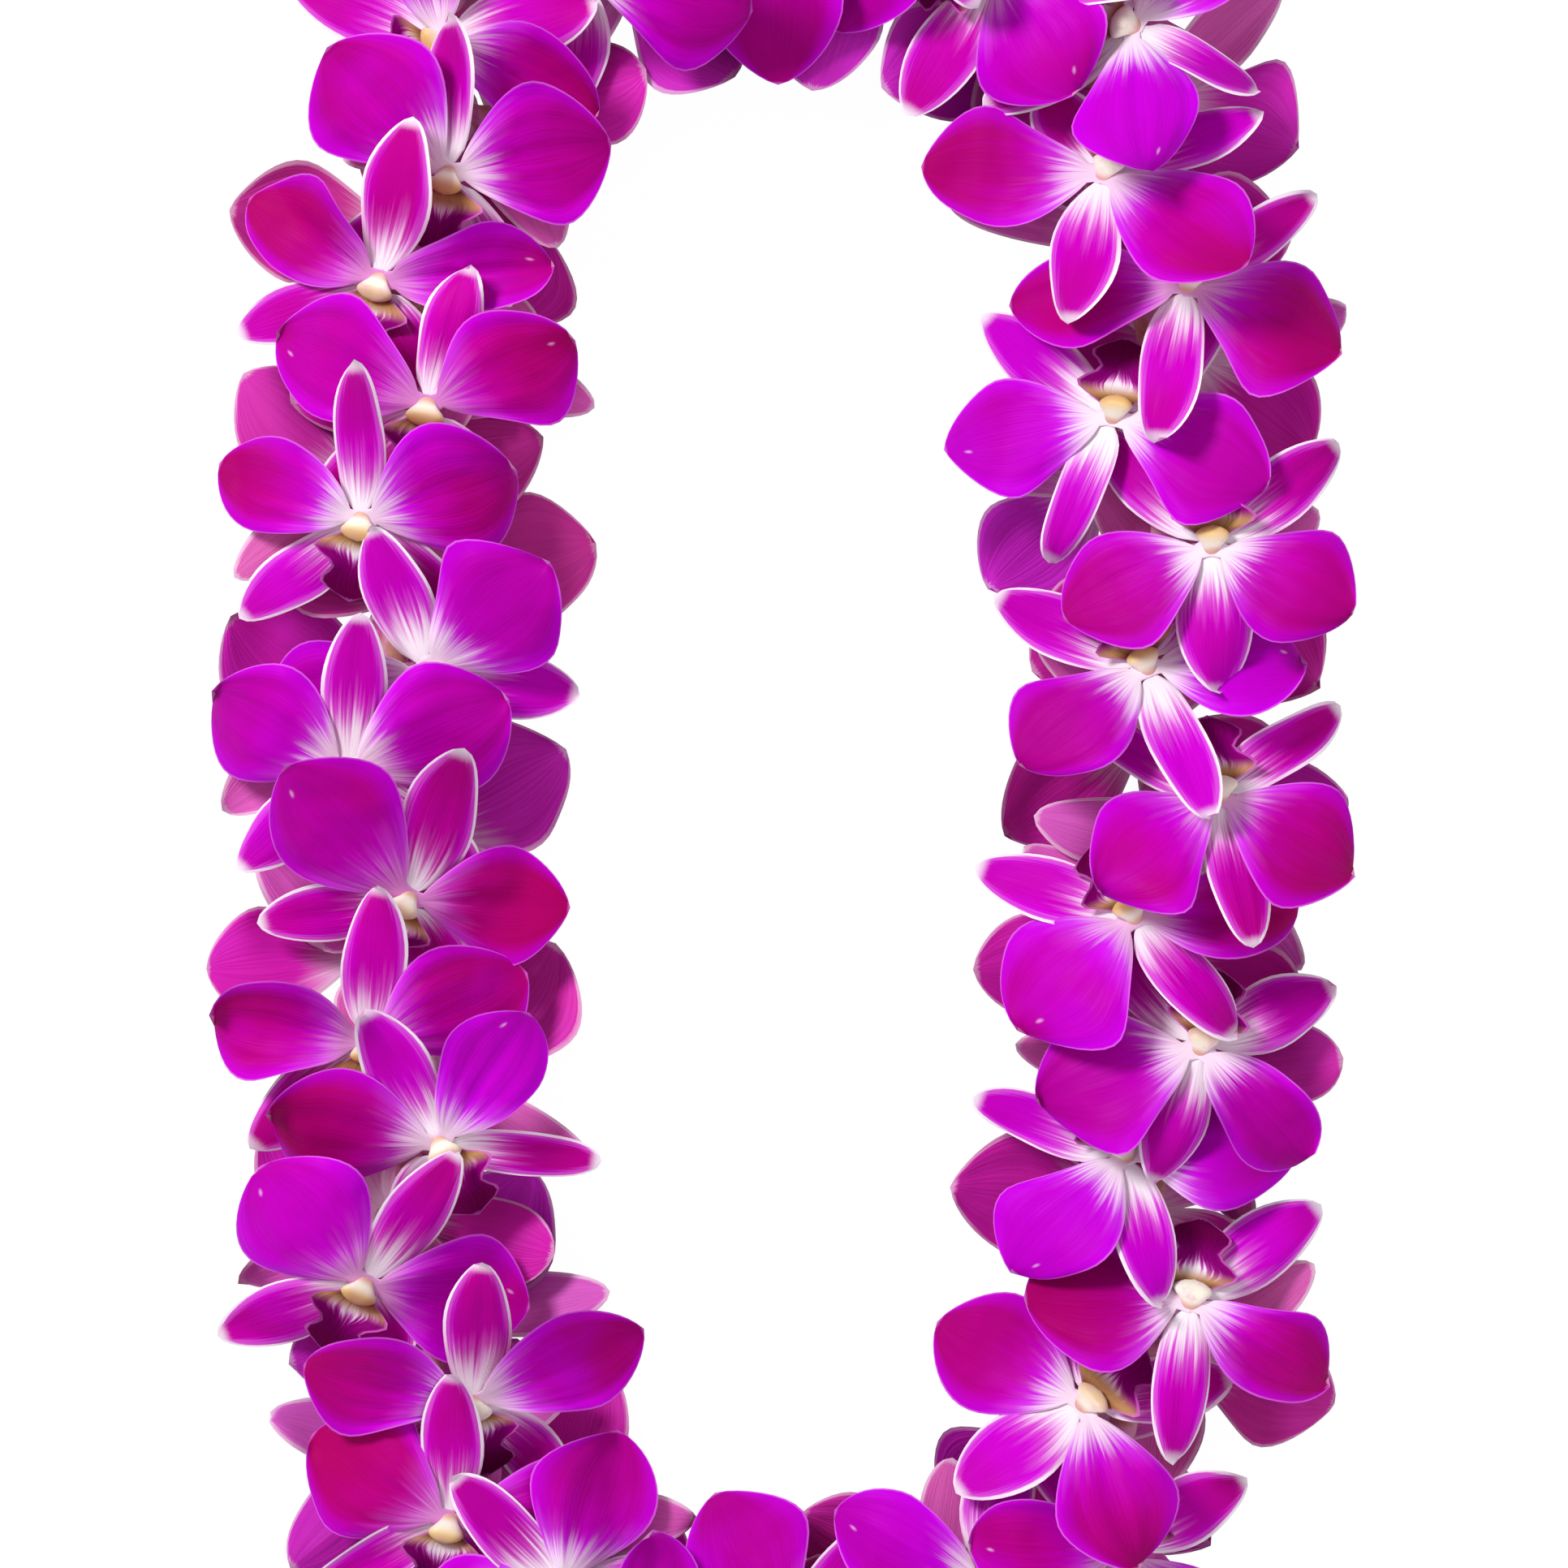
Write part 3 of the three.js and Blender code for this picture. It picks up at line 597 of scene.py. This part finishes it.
def sleeveRings(pair):
    shape = sleeveShape
    first = 2 * pair
    start = first - (shape["knotRoom"] if pair == 0 else shape["reach"])
    end = first + 1 + (shape["knotRoom"] if pair == loop["pairs"] - 1 else shape["reach"])
    place = crowded(shape["rings"] - 1, 1 - shape["evenShare"])
    ends = np.sqrt(np.maximum(1 - np.abs(2 * place - 1) ** shape["closePower"], shape["closeTo"]))
    folds = 1 + shape["bulge"] * np.sin(shape["bulges"] * place + shape["phase"] * draw(pair, "sleeve"))
    return tubeRound(start + (end - start) * place, shape["radius"] * ends * folds, shape["sides"])


# Material building
def linear(*colour):
    part = np.array(colour) / 255
    part = np.where(part <= 0.04045, part / 12.92, ((part + 0.055) / 1.055) ** 2.4)
    return (*[float(value) for value in part], 1.0)


# A value inside a material: sums, differences and products of such values become maths nodes
class Wire:
    def __init__(self, socket):
        self.socket, self.tree = socket, socket.id_data

    def __add__(self, other):
        return maths("ADD", self, other)

    def __sub__(self, other):
        return maths("SUBTRACT", self, other)

    def __rsub__(self, other):
        return maths("SUBTRACT", other, self)

    def __mul__(self, other):
        return maths("MULTIPLY", self, other)


def treeOf(values):
    return next(value.tree for value in values if isinstance(value, Wire))


def connect(value, node, name):
    if isinstance(value, Wire):
        value.tree.links.new(value.socket, node.inputs[name])
    else:
        node.inputs[name].default_value = value


def addNode(tree, kind, inputs=None, **settings):
    node = tree.nodes.new(kind)
    for name, value in settings.items():
        setattr(node, name, value)
    for name, value in (inputs or {}).items():
        connect(value, node, name)
    return node


def maths(operation, *values):
    node = addNode(treeOf(values), "ShaderNodeMath", dict(enumerate(values)), operation=operation)
    return Wire(node.outputs[0])


# A mask along a value: none at its start, its whole share at its end, smooth between
def fade(value, start, end, share=1.0):
    inputs = {0: value, 1: start, 2: end, 4: share}
    return Wire(addNode(value.tree, "ShaderNodeMapRange", inputs, interpolation_type="SMOOTHSTEP").outputs[0])


def mixed(share, first, second):
    tree = treeOf((share, first, second))
    return Wire(addNode(tree, "ShaderNodeMix", {0: share, 6: first, 7: second}, data_type="RGBA").outputs[2])


# Lays a layer, a colour with the start, end and share of its fade, over another colour
def laid(under, layer, value):
    colour, *reach = layer
    return mixed(fade(value, *reach), under, colour)


# Noise over the piece's own coordinates
def noiseOver(tree, scale, detail):
    place = Wire(addNode(tree, "ShaderNodeTexCoord").outputs["Object"])
    inputs = {"Vector": place, "Scale": scale, "Detail": detail}
    return Wire(addNode(tree, "ShaderNodeTexNoise", inputs).outputs[0])


def startGroup(name, inputs, output, kind="NodeSocketFloat"):
    tree = bpy.data.node_groups.new(name, "ShaderNodeTree")
    for label, value in inputs.items():
        inputKind = "NodeSocketColor" if isinstance(value, tuple) else "NodeSocketFloat"
        tree.interface.new_socket(label, in_out="INPUT", socket_type=inputKind).default_value = value
    tree.interface.new_socket(output, in_out="OUTPUT", socket_type=kind)
    take = [Wire(socket) for socket in tree.nodes.new("NodeGroupInput").outputs[:len(inputs)]]
    return tree, take, tree.nodes.new("NodeGroupOutput")


def useGroup(group, inputs):
    return Wire(addNode(treeOf(inputs.values()), "ShaderNodeGroup", inputs, node_tree=group).outputs[0])


texture = {  # clouds, grain and crumple have the scale per metre and the detail of their noise
    "streakDetail": 1.5, "streakContrast": (0.3, 0.7), "toneStep": 31.0,
    "clouds": (55.0, 1.0), "cloudShare": 2.4, "deeper": (0.1, -1.1), "brighter": (-0.1, 1.1),
    "grain": (2600.0, 2.0), "crumple": (95.0, 1.0),
    "redBlooms": (0.1, 1.0), "violetBlooms": (-0.1, -1.0),
}


# Streaks along a blade, fanning out from its base: noise stretched along it
def buildStreaks():
    tree, (across, run, tone, count, length), give = startGroup(
        "bladeStreaks", {"Across": 0.0, "Along": 0.0, "Tone": 0.0, "Count": 12.0, "Length": 1.5}, "Streaks")
    axes = {0: across * count, 1: run * length, 2: tone * texture["toneStep"]}
    place = Wire(addNode(tree, "ShaderNodeCombineXYZ", axes).outputs[0])
    inputs = {"Vector": place, "Scale": 1.0, "Detail": texture["streakDetail"]}
    noise = Wire(addNode(tree, "ShaderNodeTexNoise", inputs).outputs[0])
    connect(fade(noise, *texture["streakContrast"]), give, 0)
    return tree


# A band along a blade's rim, in millimetres from it, its inner edge wandering a little
def buildRimBand():
    tree, (rim, wander, width, softness), give = startGroup(
        "rimBand", {"Rim": 0.0, "Wander": 0.0, "Width": 0.5, "Softness": 0.4}, "Mask")
    start = width * 0.5
    connect(fade(rim - wander * width, start + softness, start), give, 0)
    return tree


# The same colour deeper on some blades and brighter on others, with broad soft clouds within each
def buildToneShift():
    white = (1.0, 1.0, 1.0, 1.0)
    tree, (colour, deep, bright, tone, amount), give = startGroup(
        "toneShift", {"Color": white, "Deep": white, "Bright": white, "Tone": 0.0, "Amount": 0.3},
        "Color", "NodeSocketColor")
    swing = tone + (noiseOver(tree, *texture["clouds"]) - 0.5) * texture["cloudShare"]
    colour = mixed(fade(swing, *texture["deeper"], amount), colour, deep)
    connect(mixed(fade(swing, *texture["brighter"], amount), colour, bright), give, 0)
    return tree


# Height of the fine relief: long veins, a soft grain of cells and broad soft crumples
def buildRelief():
    tree, (streaks, veins, grain, crumple), give = startGroup(
        "bladeRelief", {"Streaks": 0.0, "Veins": 0.5, "Grain": 0.15, "Crumple": 0.0}, "Height")
    fine = noiseOver(tree, *texture["grain"]) * grain
    broad = noiseOver(tree, *texture["crumple"]) * crumple
    connect(streaks * veins + fine + broad, give, 0)
    return tree


streakGroup, rimGroup = buildStreaks(), buildRimBand()
toneGroup, reliefGroup = buildToneShift(), buildRelief()


def startPaint(name, values):
    paint = bpy.data.materials.new(name)
    paint.use_nodes = True
    shader = paint.node_tree.nodes["Principled BSDF"]
    for socket, value in values.items():
        connect(value, shader, socket)
    return paint, paint.node_tree, shader


# Both directions of a map: across and along on a blade, around and along on a tube
def mapPlaces(tree, name):
    place = Wire(addNode(tree, "ShaderNodeUVMap", uv_map=name).outputs[0])
    split = addNode(tree, "ShaderNodeSeparateXYZ", {0: place})
    return Wire(split.outputs[0]), Wire(split.outputs[1])


def attribute(tree, name):
    return Wire(addNode(tree, "ShaderNodeAttribute", attribute_name=name).outputs["Fac"])


def streaksOn(across, run, tone, count, length):
    inputs = {"Across": across, "Along": run, "Tone": tone, "Count": count, "Length": length}
    return useGroup(streakGroup, inputs)


def rimBand(rim, wander, width, softness, share):
    inputs = {"Rim": rim, "Wander": wander, "Width": width, "Softness": softness}
    return useGroup(rimGroup, inputs) * share


def addBump(shader, height, strength, distance):
    inputs = {"Strength": strength, "Distance": distance, "Height": height}
    connect(Wire(addNode(height.tree, "ShaderNodeBump", inputs).outputs[0]), shader, "Normal")


# What a blade's material reads: its places, the rim's distance, both tones and its fine threads
def readBlade(tree, look):
    across, run = mapPlaces(tree, "bladeMap")
    rim, tone, bloomTone = [attribute(tree, name) for name in ("rim", "tone", "bloomTone")]
    return across, run, rim, tone, bloomTone, streaksOn(across, run, tone, *look["threads"])


# What a blade's material ends with: its colour and its relief
def dressBlade(shader, colour, threads, look):
    connect(colour, shader, "Base Color")
    veins, grain, crumple = look["relief"]
    height = useGroup(reliefGroup, {"Streaks": threads, "Veins": veins, "Grain": grain, "Crumple": crumple})
    addBump(shader, height, *look["bump"])


# Some blades deeper or brighter than others
def bladeShade(colour, look, tone):
    inputs = {"Color": colour, "Deep": look["deep"], "Bright": look["bright"], "Tone": tone}
    return useGroup(toneGroup, {**inputs, "Amount": look["toneShare"]})


# Whole blooms redder or more violet than the rest
def bloomShade(colour, look, bloomTone):
    colour = mixed(fade(bloomTone, *texture["redBlooms"], look["bloomShare"]), colour, look["ruby"])
    return mixed(fade(bloomTone, *texture["violetBlooms"], look["bloomShare"]), colour, look["plum"])


# The way along a blade as the pale colours of its base see it: they reach further on threads and streaks
def baseRun(run, threads, streaks, bloomTone, look):
    perThread, perStreak, perBloom = look["baseWander"]
    return run - threads * perThread - streaks * perStreak + bloomTone * perBloom


flesh = {
    "Roughness": 0.52, "Specular IOR Level": 0.03, "Sheen Weight": 0.02, "Sheen Roughness": 0.45,
    "Sheen Tint": (0.9, 0.05, 1.0, 1.0),
}
fleshRoughness = {"least": 0.44, "threads": 0.14}

# In each look a colour may have the start, end and share of its fade
petalLook = {
    "violet": linear(216, 4, 240), "body": (linear(200, 0, 176), 0.16, 0.46),
    "heart": (linear(186, 0, 132), 0.38, 0.72), "tip": (linear(168, 0, 94), 0.68, 1.0, 0.7),
    "deep": linear(160, 0, 84), "bright": linear(212, 0, 246), "toneShare": 0.55,
    "ruby": linear(184, 0, 92), "plum": linear(192, 0, 214), "bloomShare": 0.45,
    "vein": linear(150, 0, 122), "veinShare": 0.16, "side": (linear(212, 0, 246), 0.6, 1.0, 0.55),
    "glow": (linear(232, 100, 250), 0.34, 0.04, 0.4), "glowAside": 0.12, "glowStreaks": 0.1,
    "rim": linear(240, 130, 246), "rimBand": (0.2, 0.3, 0.5),
    "base": linear(253, 232, 250), "flush": (linear(230, 150, 220), -0.4, 0.8), "baseFade": (0.24, 0.02),
    "baseWander": (0.04, 0.09, 0.035), "bodyWander": 0.12,
    # Painted highlight: a small pale glint near the tip of some petals
    "paintedGlint": (linear(250, 190, 244), 0.5, 0.05, 0.6), "glintAt": 0.86, "glintAside": 0.4,
    "glintsAcross": 8.0, "glintsAlong": 16.0, "glintFrom": 0.35,
    "streaks": (13.0, 1.6), "threads": (34.0, 2.0), "relief": (0.6, 0.2, 24.0), "bump": (0.35, 0.00015),
}


def makePetalPaint():
    look = petalLook
    paint, tree, shader = startPaint("petalFace", flesh)
    across, run, rim, tone, bloomTone, threads = readBlade(tree, look)
    aside = maths("ABSOLUTE", across)
    streaks = streaksOn(across, run, tone, *look["streaks"])
    shifted = run + (streaks - 0.5) * look["bodyWander"]
    # Violet at the base to red-magenta at the heart and tip: partly the petal's own colour, partly painted
    # light, violet for the lit look and red-magenta for the shaded look
    colour = laid(look["violet"], look["body"], shifted)
    colour = laid(colour, look["heart"], shifted)
    colour = laid(colour, look["tip"], shifted)
    colour = bloomShade(bladeShade(colour, look, tone), look, bloomTone)
    colour = mixed(threads * look["veinShare"], colour, look["vein"])
    # Violet towards the edges: partly the petal's own colour, partly painted light, the violet look of lit
    # edges
    colour = laid(colour, look["side"], aside)
    colour = laid(colour, look["glow"], run - aside * look["glowAside"] - streaks * look["glowStreaks"])
    colour = mixed(rimBand(rim, streaks, *look["rimBand"]), colour, look["rim"])
    base = laid(look["base"], look["flush"], bloomTone)
    colour = mixed(fade(baseRun(run, threads, streaks, bloomTone, look), *look["baseFade"]), colour, base)
    # Painted highlight: a small pale spot near the tip of some petals stands in for a glint of light
    offMiddle = (across - tone * look["glintAside"]) * look["glintsAcross"]
    offEnd = (run - look["glintAt"]) * look["glintsAlong"]
    away = maths("SQRT", offMiddle * offMiddle + offEnd * offEnd)
    paintedGlint, *glintFade = look["paintedGlint"]
    hasGlint = maths("GREATER_THAN", tone, look["glintFrom"])
    colour = mixed(fade(away, *glintFade) * hasGlint, colour, paintedGlint)
    connect(threads * fleshRoughness["threads"] + fleshRoughness["least"], shader, "Roughness")
    dressBlade(shader, colour, threads, look)
    return paint


sepalLook = {
    "body": linear(208, 0, 192), "heart": (linear(192, 0, 156), 0.35, 0.85),
    "violet": (linear(216, 0, 236), 0.45, 0.95, 0.55), "vein": linear(162, 0, 126), "veinShare": 0.16,
    "deep": linear(166, 0, 104), "bright": linear(218, 0, 234), "toneShare": 0.55,
    "ruby": linear(194, 0, 118), "plum": linear(198, 0, 214), "bloomShare": 0.4,
    "white": linear(255, 246, 254), "rimBand": (0.42, 0.36, 0.92), "tipFade": (0.91, 0.985, 0.8),
    "pink": linear(236, 120, 226), "halo": (0.9, 1.3, 0.42), "pinkFade": (0.42, 0.1, 0.7),
    "whiteFade": (0.28, 0.02), "baseWander": (0.07, 0.14, 0.06),
    "streaks": (9.0, 1.4), "threads": (22.0, 1.8), "relief": (0.7, 0.2, 12.0), "bump": (0.4, 0.00015),
}


def makeSepalPaint():
    look = sepalLook
    paint, tree, shader = startPaint("sepalFace", flesh)
    across, run, rim, tone, bloomTone, threads = readBlade(tree, look)
    streaks = streaksOn(across, run, tone, *look["streaks"])
    colour = laid(look["body"], look["heart"], run)
    colour = bloomShade(bladeShade(colour, look, tone), look, bloomTone)
    colour = mixed(threads * look["veinShare"], colour, look["vein"])
    colour = laid(colour, look["violet"], maths("ABSOLUTE", across))
    colour = mixed(rimBand(rim, threads, *look["halo"]), colour, look["pink"])
    margin = maths("MAXIMUM", rimBand(rim, streaks, *look["rimBand"]), fade(run, *look["tipFade"]))
    colour = mixed(margin, colour, look["white"])
    reachOut = baseRun(run, threads, streaks, bloomTone, look)
    colour = mixed(fade(reachOut, *look["pinkFade"]), colour, look["pink"])
    colour = mixed(fade(reachOut, *look["whiteFade"]), colour, look["white"])
    connect(threads * fleshRoughness["threads"] + fleshRoughness["least"], shader, "Roughness")
    dressBlade(shader, colour, threads, look)
    return paint


backLook = {
    "body": linear(226, 0, 188), "pale": linear(240, 138, 208), "vein": linear(168, 8, 140), "veinShare": 0.2,
    "deep": linear(178, 0, 130), "bright": linear(224, 30, 222), "toneShare": 0.5,
    "ruby": linear(206, 64, 132), "plum": linear(198, 30, 226), "bloomShare": 0.5,
    "white": linear(246, 214, 236), "baseFade": (0.38, 0.02), "baseThreads": 0.1, "rimBand": (0.5, 0.6),
    "threads": (20.0, 1.7), "relief": (0.8, 0.2, 0.0), "bump": (0.45, 0.0002),
}


def makeBackPaint(name, paleness, margin):
    look = backLook
    paint, tree, shader = startPaint(name, {**flesh, "Specular IOR Level": 0.15})
    _, run, rim, tone, bloomTone, threads = readBlade(tree, look)
    colour = bloomShade(bladeShade(look["body"], look, tone), look, bloomTone)
    colour = mixed(paleness, colour, look["pale"])
    colour = mixed(threads * look["veinShare"], colour, look["vein"])
    colour = mixed(fade(run - threads * look["baseThreads"], *look["baseFade"]), colour, look["white"])
    colour = mixed(rimBand(rim, threads, *look["rimBand"], margin), colour, look["white"])
    dressBlade(shader, colour, threads, look)
    return paint


lipLook = {
    "body": linear(156, 0, 132), "dark": (linear(110, 0, 74), 0.45, 0.8), "vein": linear(92, 0, 66),
    "veinShare": 0.4, "deep": linear(84, 0, 56), "bright": linear(180, 0, 160), "toneShare": 0.4,
    "wedgeAside": 0.34, "wedgeThreads": 0.14, "pink": (linear(226, 110, 214), 0.5, 0.34),
    "white": (linear(254, 244, 250), 0.42, 0.3), "throat": (linear(196, 148, 96), 0.4, 0.22),
    "throatTone": 0.06, "hollowShade": (linear(122, 66, 44), 0.25, 0.12), "rimBand": (0.35, 0.35, 0.6),
    "threads": (16.0, 1.6), "relief": (0.9, 0.3, 0.0), "bump": (0.5, 0.0002),
}


def makeLipPaint():
    look = lipLook
    paint, tree, shader = startPaint("lipFace", {**flesh, "Sheen Weight": 0.12})
    across, run, rim, tone, _, threads = readBlade(tree, look)
    colour = bladeShade(laid(look["body"], look["dark"], run), look, tone)
    colour = mixed(threads * look["veinShare"], colour, look["vein"])
    wedge = run + maths("ABSOLUTE", across) * look["wedgeAside"] - threads * look["wedgeThreads"]
    colour = laid(colour, look["pink"], wedge)
    colour = laid(colour, look["white"], wedge)
    # The tan throat: partly the lip's own golden tan, partly painted shade where the column overhangs it
    colour = laid(colour, look["throat"], run - tone * look["throatTone"])
    # Painted shade: dark brown at the lip's base, in the hollow under the column
    colour = laid(colour, look["hollowShade"], run)
    colour = mixed(rimBand(rim, threads, *look["rimBand"]), colour, look["pink"][0])
    dressBlade(shader, colour, threads, look)
    return paint


columnLook = {
    "base": linear(222, 168, 150), "cream": (linear(252, 246, 226), 0.15, 0.45), "creamSpots": 0.2,
    "cap": linear(232, 190, 118), "capFade": (0.35, 0.8), "capTone": (-0.9, 0.3),
    "pink": linear(232, 150, 206), "pinkFade": (0.5, 0.75), "pinkShare": 0.3, "pinkTone": -0.2,
    "hollowShade": linear(96, 46, 26), "underFade": (0.1, -0.7), "underRun": (0.3, 0.6),
    "frontFade": (0.9, 0.2), "frontRun": (0.93, 1.0), "spots": (420.0, 3.0), "bump": (0.4, 0.0002),
}


def makeColumnPaint():
    look = columnLook
    paint, tree, shader = startPaint("columnFlesh", {"Roughness": 0.42, "Specular IOR Level": 0.3})
    around, run = mapPlaces(tree, "tubeMap")
    high = maths("SINE", around * (2 * math.pi))
    tone = attribute(tree, "tone")
    spots = noiseOver(tree, *look["spots"])
    colour = laid(look["base"], look["cream"], run + spots * look["creamSpots"])
    colour = mixed(fade(run, *look["capFade"]) * fade(tone, *look["capTone"]), colour, look["cap"])
    flush = tone * look["pinkTone"] + look["pinkShare"]
    colour = mixed(fade(spots, *look["pinkFade"]) * flush, colour, look["pink"])
    # Painted shade: dark brown on the hood's underside past its middle and across its blunt front end, where
    # shade falls under the overhang
    colour = mixed(fade(high, *look["underFade"]) * fade(run, *look["underRun"]), colour, look["hollowShade"])
    colour = mixed(fade(high, *look["frontFade"]) * fade(run, *look["frontRun"]), colour, look["hollowShade"])
    connect(colour, shader, "Base Color")
    addBump(shader, spots, *look["bump"])
    return paint


chinLook = {
    "tan": linear(184, 124, 112), "pale": (linear(222, 150, 190), 0.38, 0.6),
    "pink": (linear(180, 44, 146), 0.5, 0.72, 0.7), "green": (linear(186, 176, 124), 0.52, 0.7, 0.3),
    "patches": (160.0, 3.0), "fine": (900.0, 3.0), "bump": (0.4, 0.0003),
}


def makeChinPaint():
    look = chinLook
    paint, tree, shader = startPaint("chinFlesh", {"Roughness": 0.55, "Specular IOR Level": 0.2})
    patches, fine = noiseOver(tree, *look["patches"]), noiseOver(tree, *look["fine"])
    colour = laid(look["tan"], look["pale"], patches)
    colour = laid(colour, look["pink"], patches)
    colour = laid(colour, look["green"], fine)
    connect(colour, shader, "Base Color")
    addBump(shader, fine, *look["bump"])
    return paint


stringLook = {
    "cotton": linear(232, 226, 210), "shade": linear(176, 166, 146), "plies": 3, "leastShade": 0.3,
    "fibres": (3200.0, 4.0), "bump": (0.5, 0.0001),
}


def makeStringPaint():
    look = stringLook
    values = {"Roughness": 0.9, "Specular IOR Level": 0.2, "Sheen Weight": 0.3}
    paint, tree, shader = startPaint("cotton", values)
    around, _ = mapPlaces(tree, "tubeMap")
    fibres = noiseOver(tree, *look["fibres"])
    # Painted shade: darker bands in the grooves between the three plies
    plies = maths("ABSOLUTE", maths("SINE", around * (look["plies"] * math.pi)))
    colour = mixed((1.0 - plies) * (fibres + look["leastShade"]), look["cotton"], look["shade"])
    connect(colour, shader, "Base Color")
    addBump(shader, fibres, *look["bump"])
    return paint


petalPaints = [makePetalPaint(), makeBackPaint("petalBack", paleness=0.05, margin=0.5)]
sepalPaints = [makeSepalPaint(), makeBackPaint("sepalBack", paleness=0.5, margin=0.7)]
lipPaints = [makeLipPaint(), makeBackPaint("lipBack", paleness=0.5, margin=0.1)]
columnPaint, chinPaint, stringPaint = makeColumnPaint(), makeChinPaint(), makeStringPaint()
print("materials ready")

# The blooms, a pair for each CAD node
armAngles = [0.0, petalAngle, lowerSepalAngle, math.pi]
armAngles += [2 * math.pi - lowerSepalAngle, 2 * math.pi - petalAngle]
petalArms, sepalArms, lipArms = (1, 5), (0, 2, 4), (3,)
bloomNodes = [f"blooms_{pair + 1:02d}" for pair in range(loop["pairs"])]


def addPairOf(kind, pair, arms, shape, surface, paints, cells):
    blades = [
        (bloom, surface(bloom, shape, armAngles[arm], arm), draw(bloom["index"], "tone", arm))
        for bloom in blooms[2 * pair:2 * pair + 2] for arm in arms
    ]
    return addBlades(f"{kind}s_{bloomNodes[pair][-2:]}", blades, shape, paints, cells)


for pair, node in enumerate(bloomNodes):
    petals = addPairOf("petal", pair, petalArms, petalShape, tepalSurface, petalPaints, (4, 2))
    sepals = addPairOf("sepal", pair, sepalArms, sepalShape, tepalSurface, sepalPaints, (4, 3))
    lips = addPairOf("lip", pair, lipArms, lipShape, lipSurface, lipPaints, (2, 2))
    for piece, slotName in ((petals, "petal"), (sepals, "sepal"), (lips, "lip")):
        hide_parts(node)
print("petals, sepals and lips ready")

columns = [(columnRings(bloom), draw(bloom["index"], "columnTone")) for bloom in blooms]
columns = addTubes("columns", columns, columnPaint)
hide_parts(*bloomNodes)

chins = [(chinRings(bloom), 0.0) for bloom in blooms]
sleeves = [(sleeveRings(pair), 0.0) for pair in range(loop["pairs"])]
chins = addTubes("chins", chins + sleeves, chinPaint)
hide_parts(*bloomNodes)
print("columns, chins and sleeves ready")

# The string and its knot
stringShape = {
    "radius": 0.62, "flute": 0.1, "flutes": 3, "turnsEach": 2.4, "ringsEach": 12, "sides": 12,
    "knotAt": -0.5, "knotRadius": 1.55, "knotTube": 0.42, "knotRound": 2, "knotThrough": 3,
    "knotRings": 90, "knotSides": 8, "endLength": 5.8, "endTurn": 1.25, "endDrop": 1.2, "endRings": 14,
    "endLeast": 0.9, "endFlare": 0.25, "endFlute": 0.12, "endTwist": 0.5,
}
acrossAll = np.array([0.31, 0.22, 0.93])  # a direction that no stretch of the knot or its ends follows


# Rings along any path: each stands across it, and starts square to one fixed direction
def carried(path, radii, sides, flute=0.0, twist=0.0):
    ahead = np.gradient(path, axis=0)
    ahead /= np.linalg.norm(ahead, axis=1, keepdims=True)
    side = np.cross(ahead, acrossAll)
    side /= np.linalg.norm(side, axis=1, keepdims=True)
    third = np.cross(ahead, side)
    turn = 2 * math.pi * np.arange(sides) / sides
    fluted = stringShape["flutes"] * turn[None, :] - twist * np.arange(len(path))[:, None]
    wide = radii[:, None] * (1 + flute * np.cos(fluted))
    return (path[:, None, :] + (wide * np.cos(turn))[..., None] * side[:, None, :]
            + (wide * np.sin(turn))[..., None] * third[:, None, :])


ringTotal = 2 * loop["pairs"] * stringShape["ringsEach"]
counts = stringShape["knotAt"] + 2 * loop["pairs"] * np.linspace(0, 1, ringTotal + 1)
strand = tubeRound(counts, np.full(len(counts), stringShape["radius"]), stringShape["sides"],
                   twist=2 * math.pi * stringShape["turnsEach"] / stringShape["flutes"],
                   flute=stringShape["flute"], flutes=stringShape["flutes"])[::-1]

# The knot: a torus knot, round twice and through three times, standing across the string
turn = 2 * math.pi * np.linspace(0, stringShape["knotRound"], stringShape["knotRings"] + 1)
swing = stringShape["knotThrough"] * turn / stringShape["knotRound"]
halfKnot = stringShape["knotRadius"] / 2
away = halfKnot * (2 + np.cos(swing))
flatKnot = np.stack([away * np.cos(turn), away * np.sin(turn), halfKnot * np.sin(swing)], -1)
knotPlace, knotOutward, knotAhead = stringPoint(stringShape["knotAt"])
outward, ahead = np.array([*knotOutward, 0.0]), np.array([*knotAhead, 0.0])
upward = np.array([0.0, 0.0, 1.0])
knotPath = knotPlace + flatKnot @ np.stack([outward, upward, ahead])
knot = carried(knotPath, np.full(len(knotPath), stringShape["knotTube"]), stringShape["knotSides"])

endTubes = []
for side in (-1, 1):
    run = np.linspace(0, 1, stringShape["endRings"])
    reach = outward * math.sin(side * stringShape["endTurn"]) + ahead * math.cos(stringShape["endTurn"])
    path = knotPlace + stringShape["endLength"] * run[:, None] * reach
    path = path - upward * (stringShape["endDrop"] * run ** 2)[:, None]
    radii = stringShape["radius"] * (stringShape["endLeast"] + stringShape["endFlare"] * run ** 6)
    flute, twist = stringShape["endFlute"], stringShape["endTwist"]
    endTubes.append((carried(path, radii, stringShape["sides"], flute, twist), 0.0))
string = addTubes("cotton_string", [(strand, 0.0), (knot, 0.0), *endTubes], stringPaint)
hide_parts("string")
print("string and knot ready")
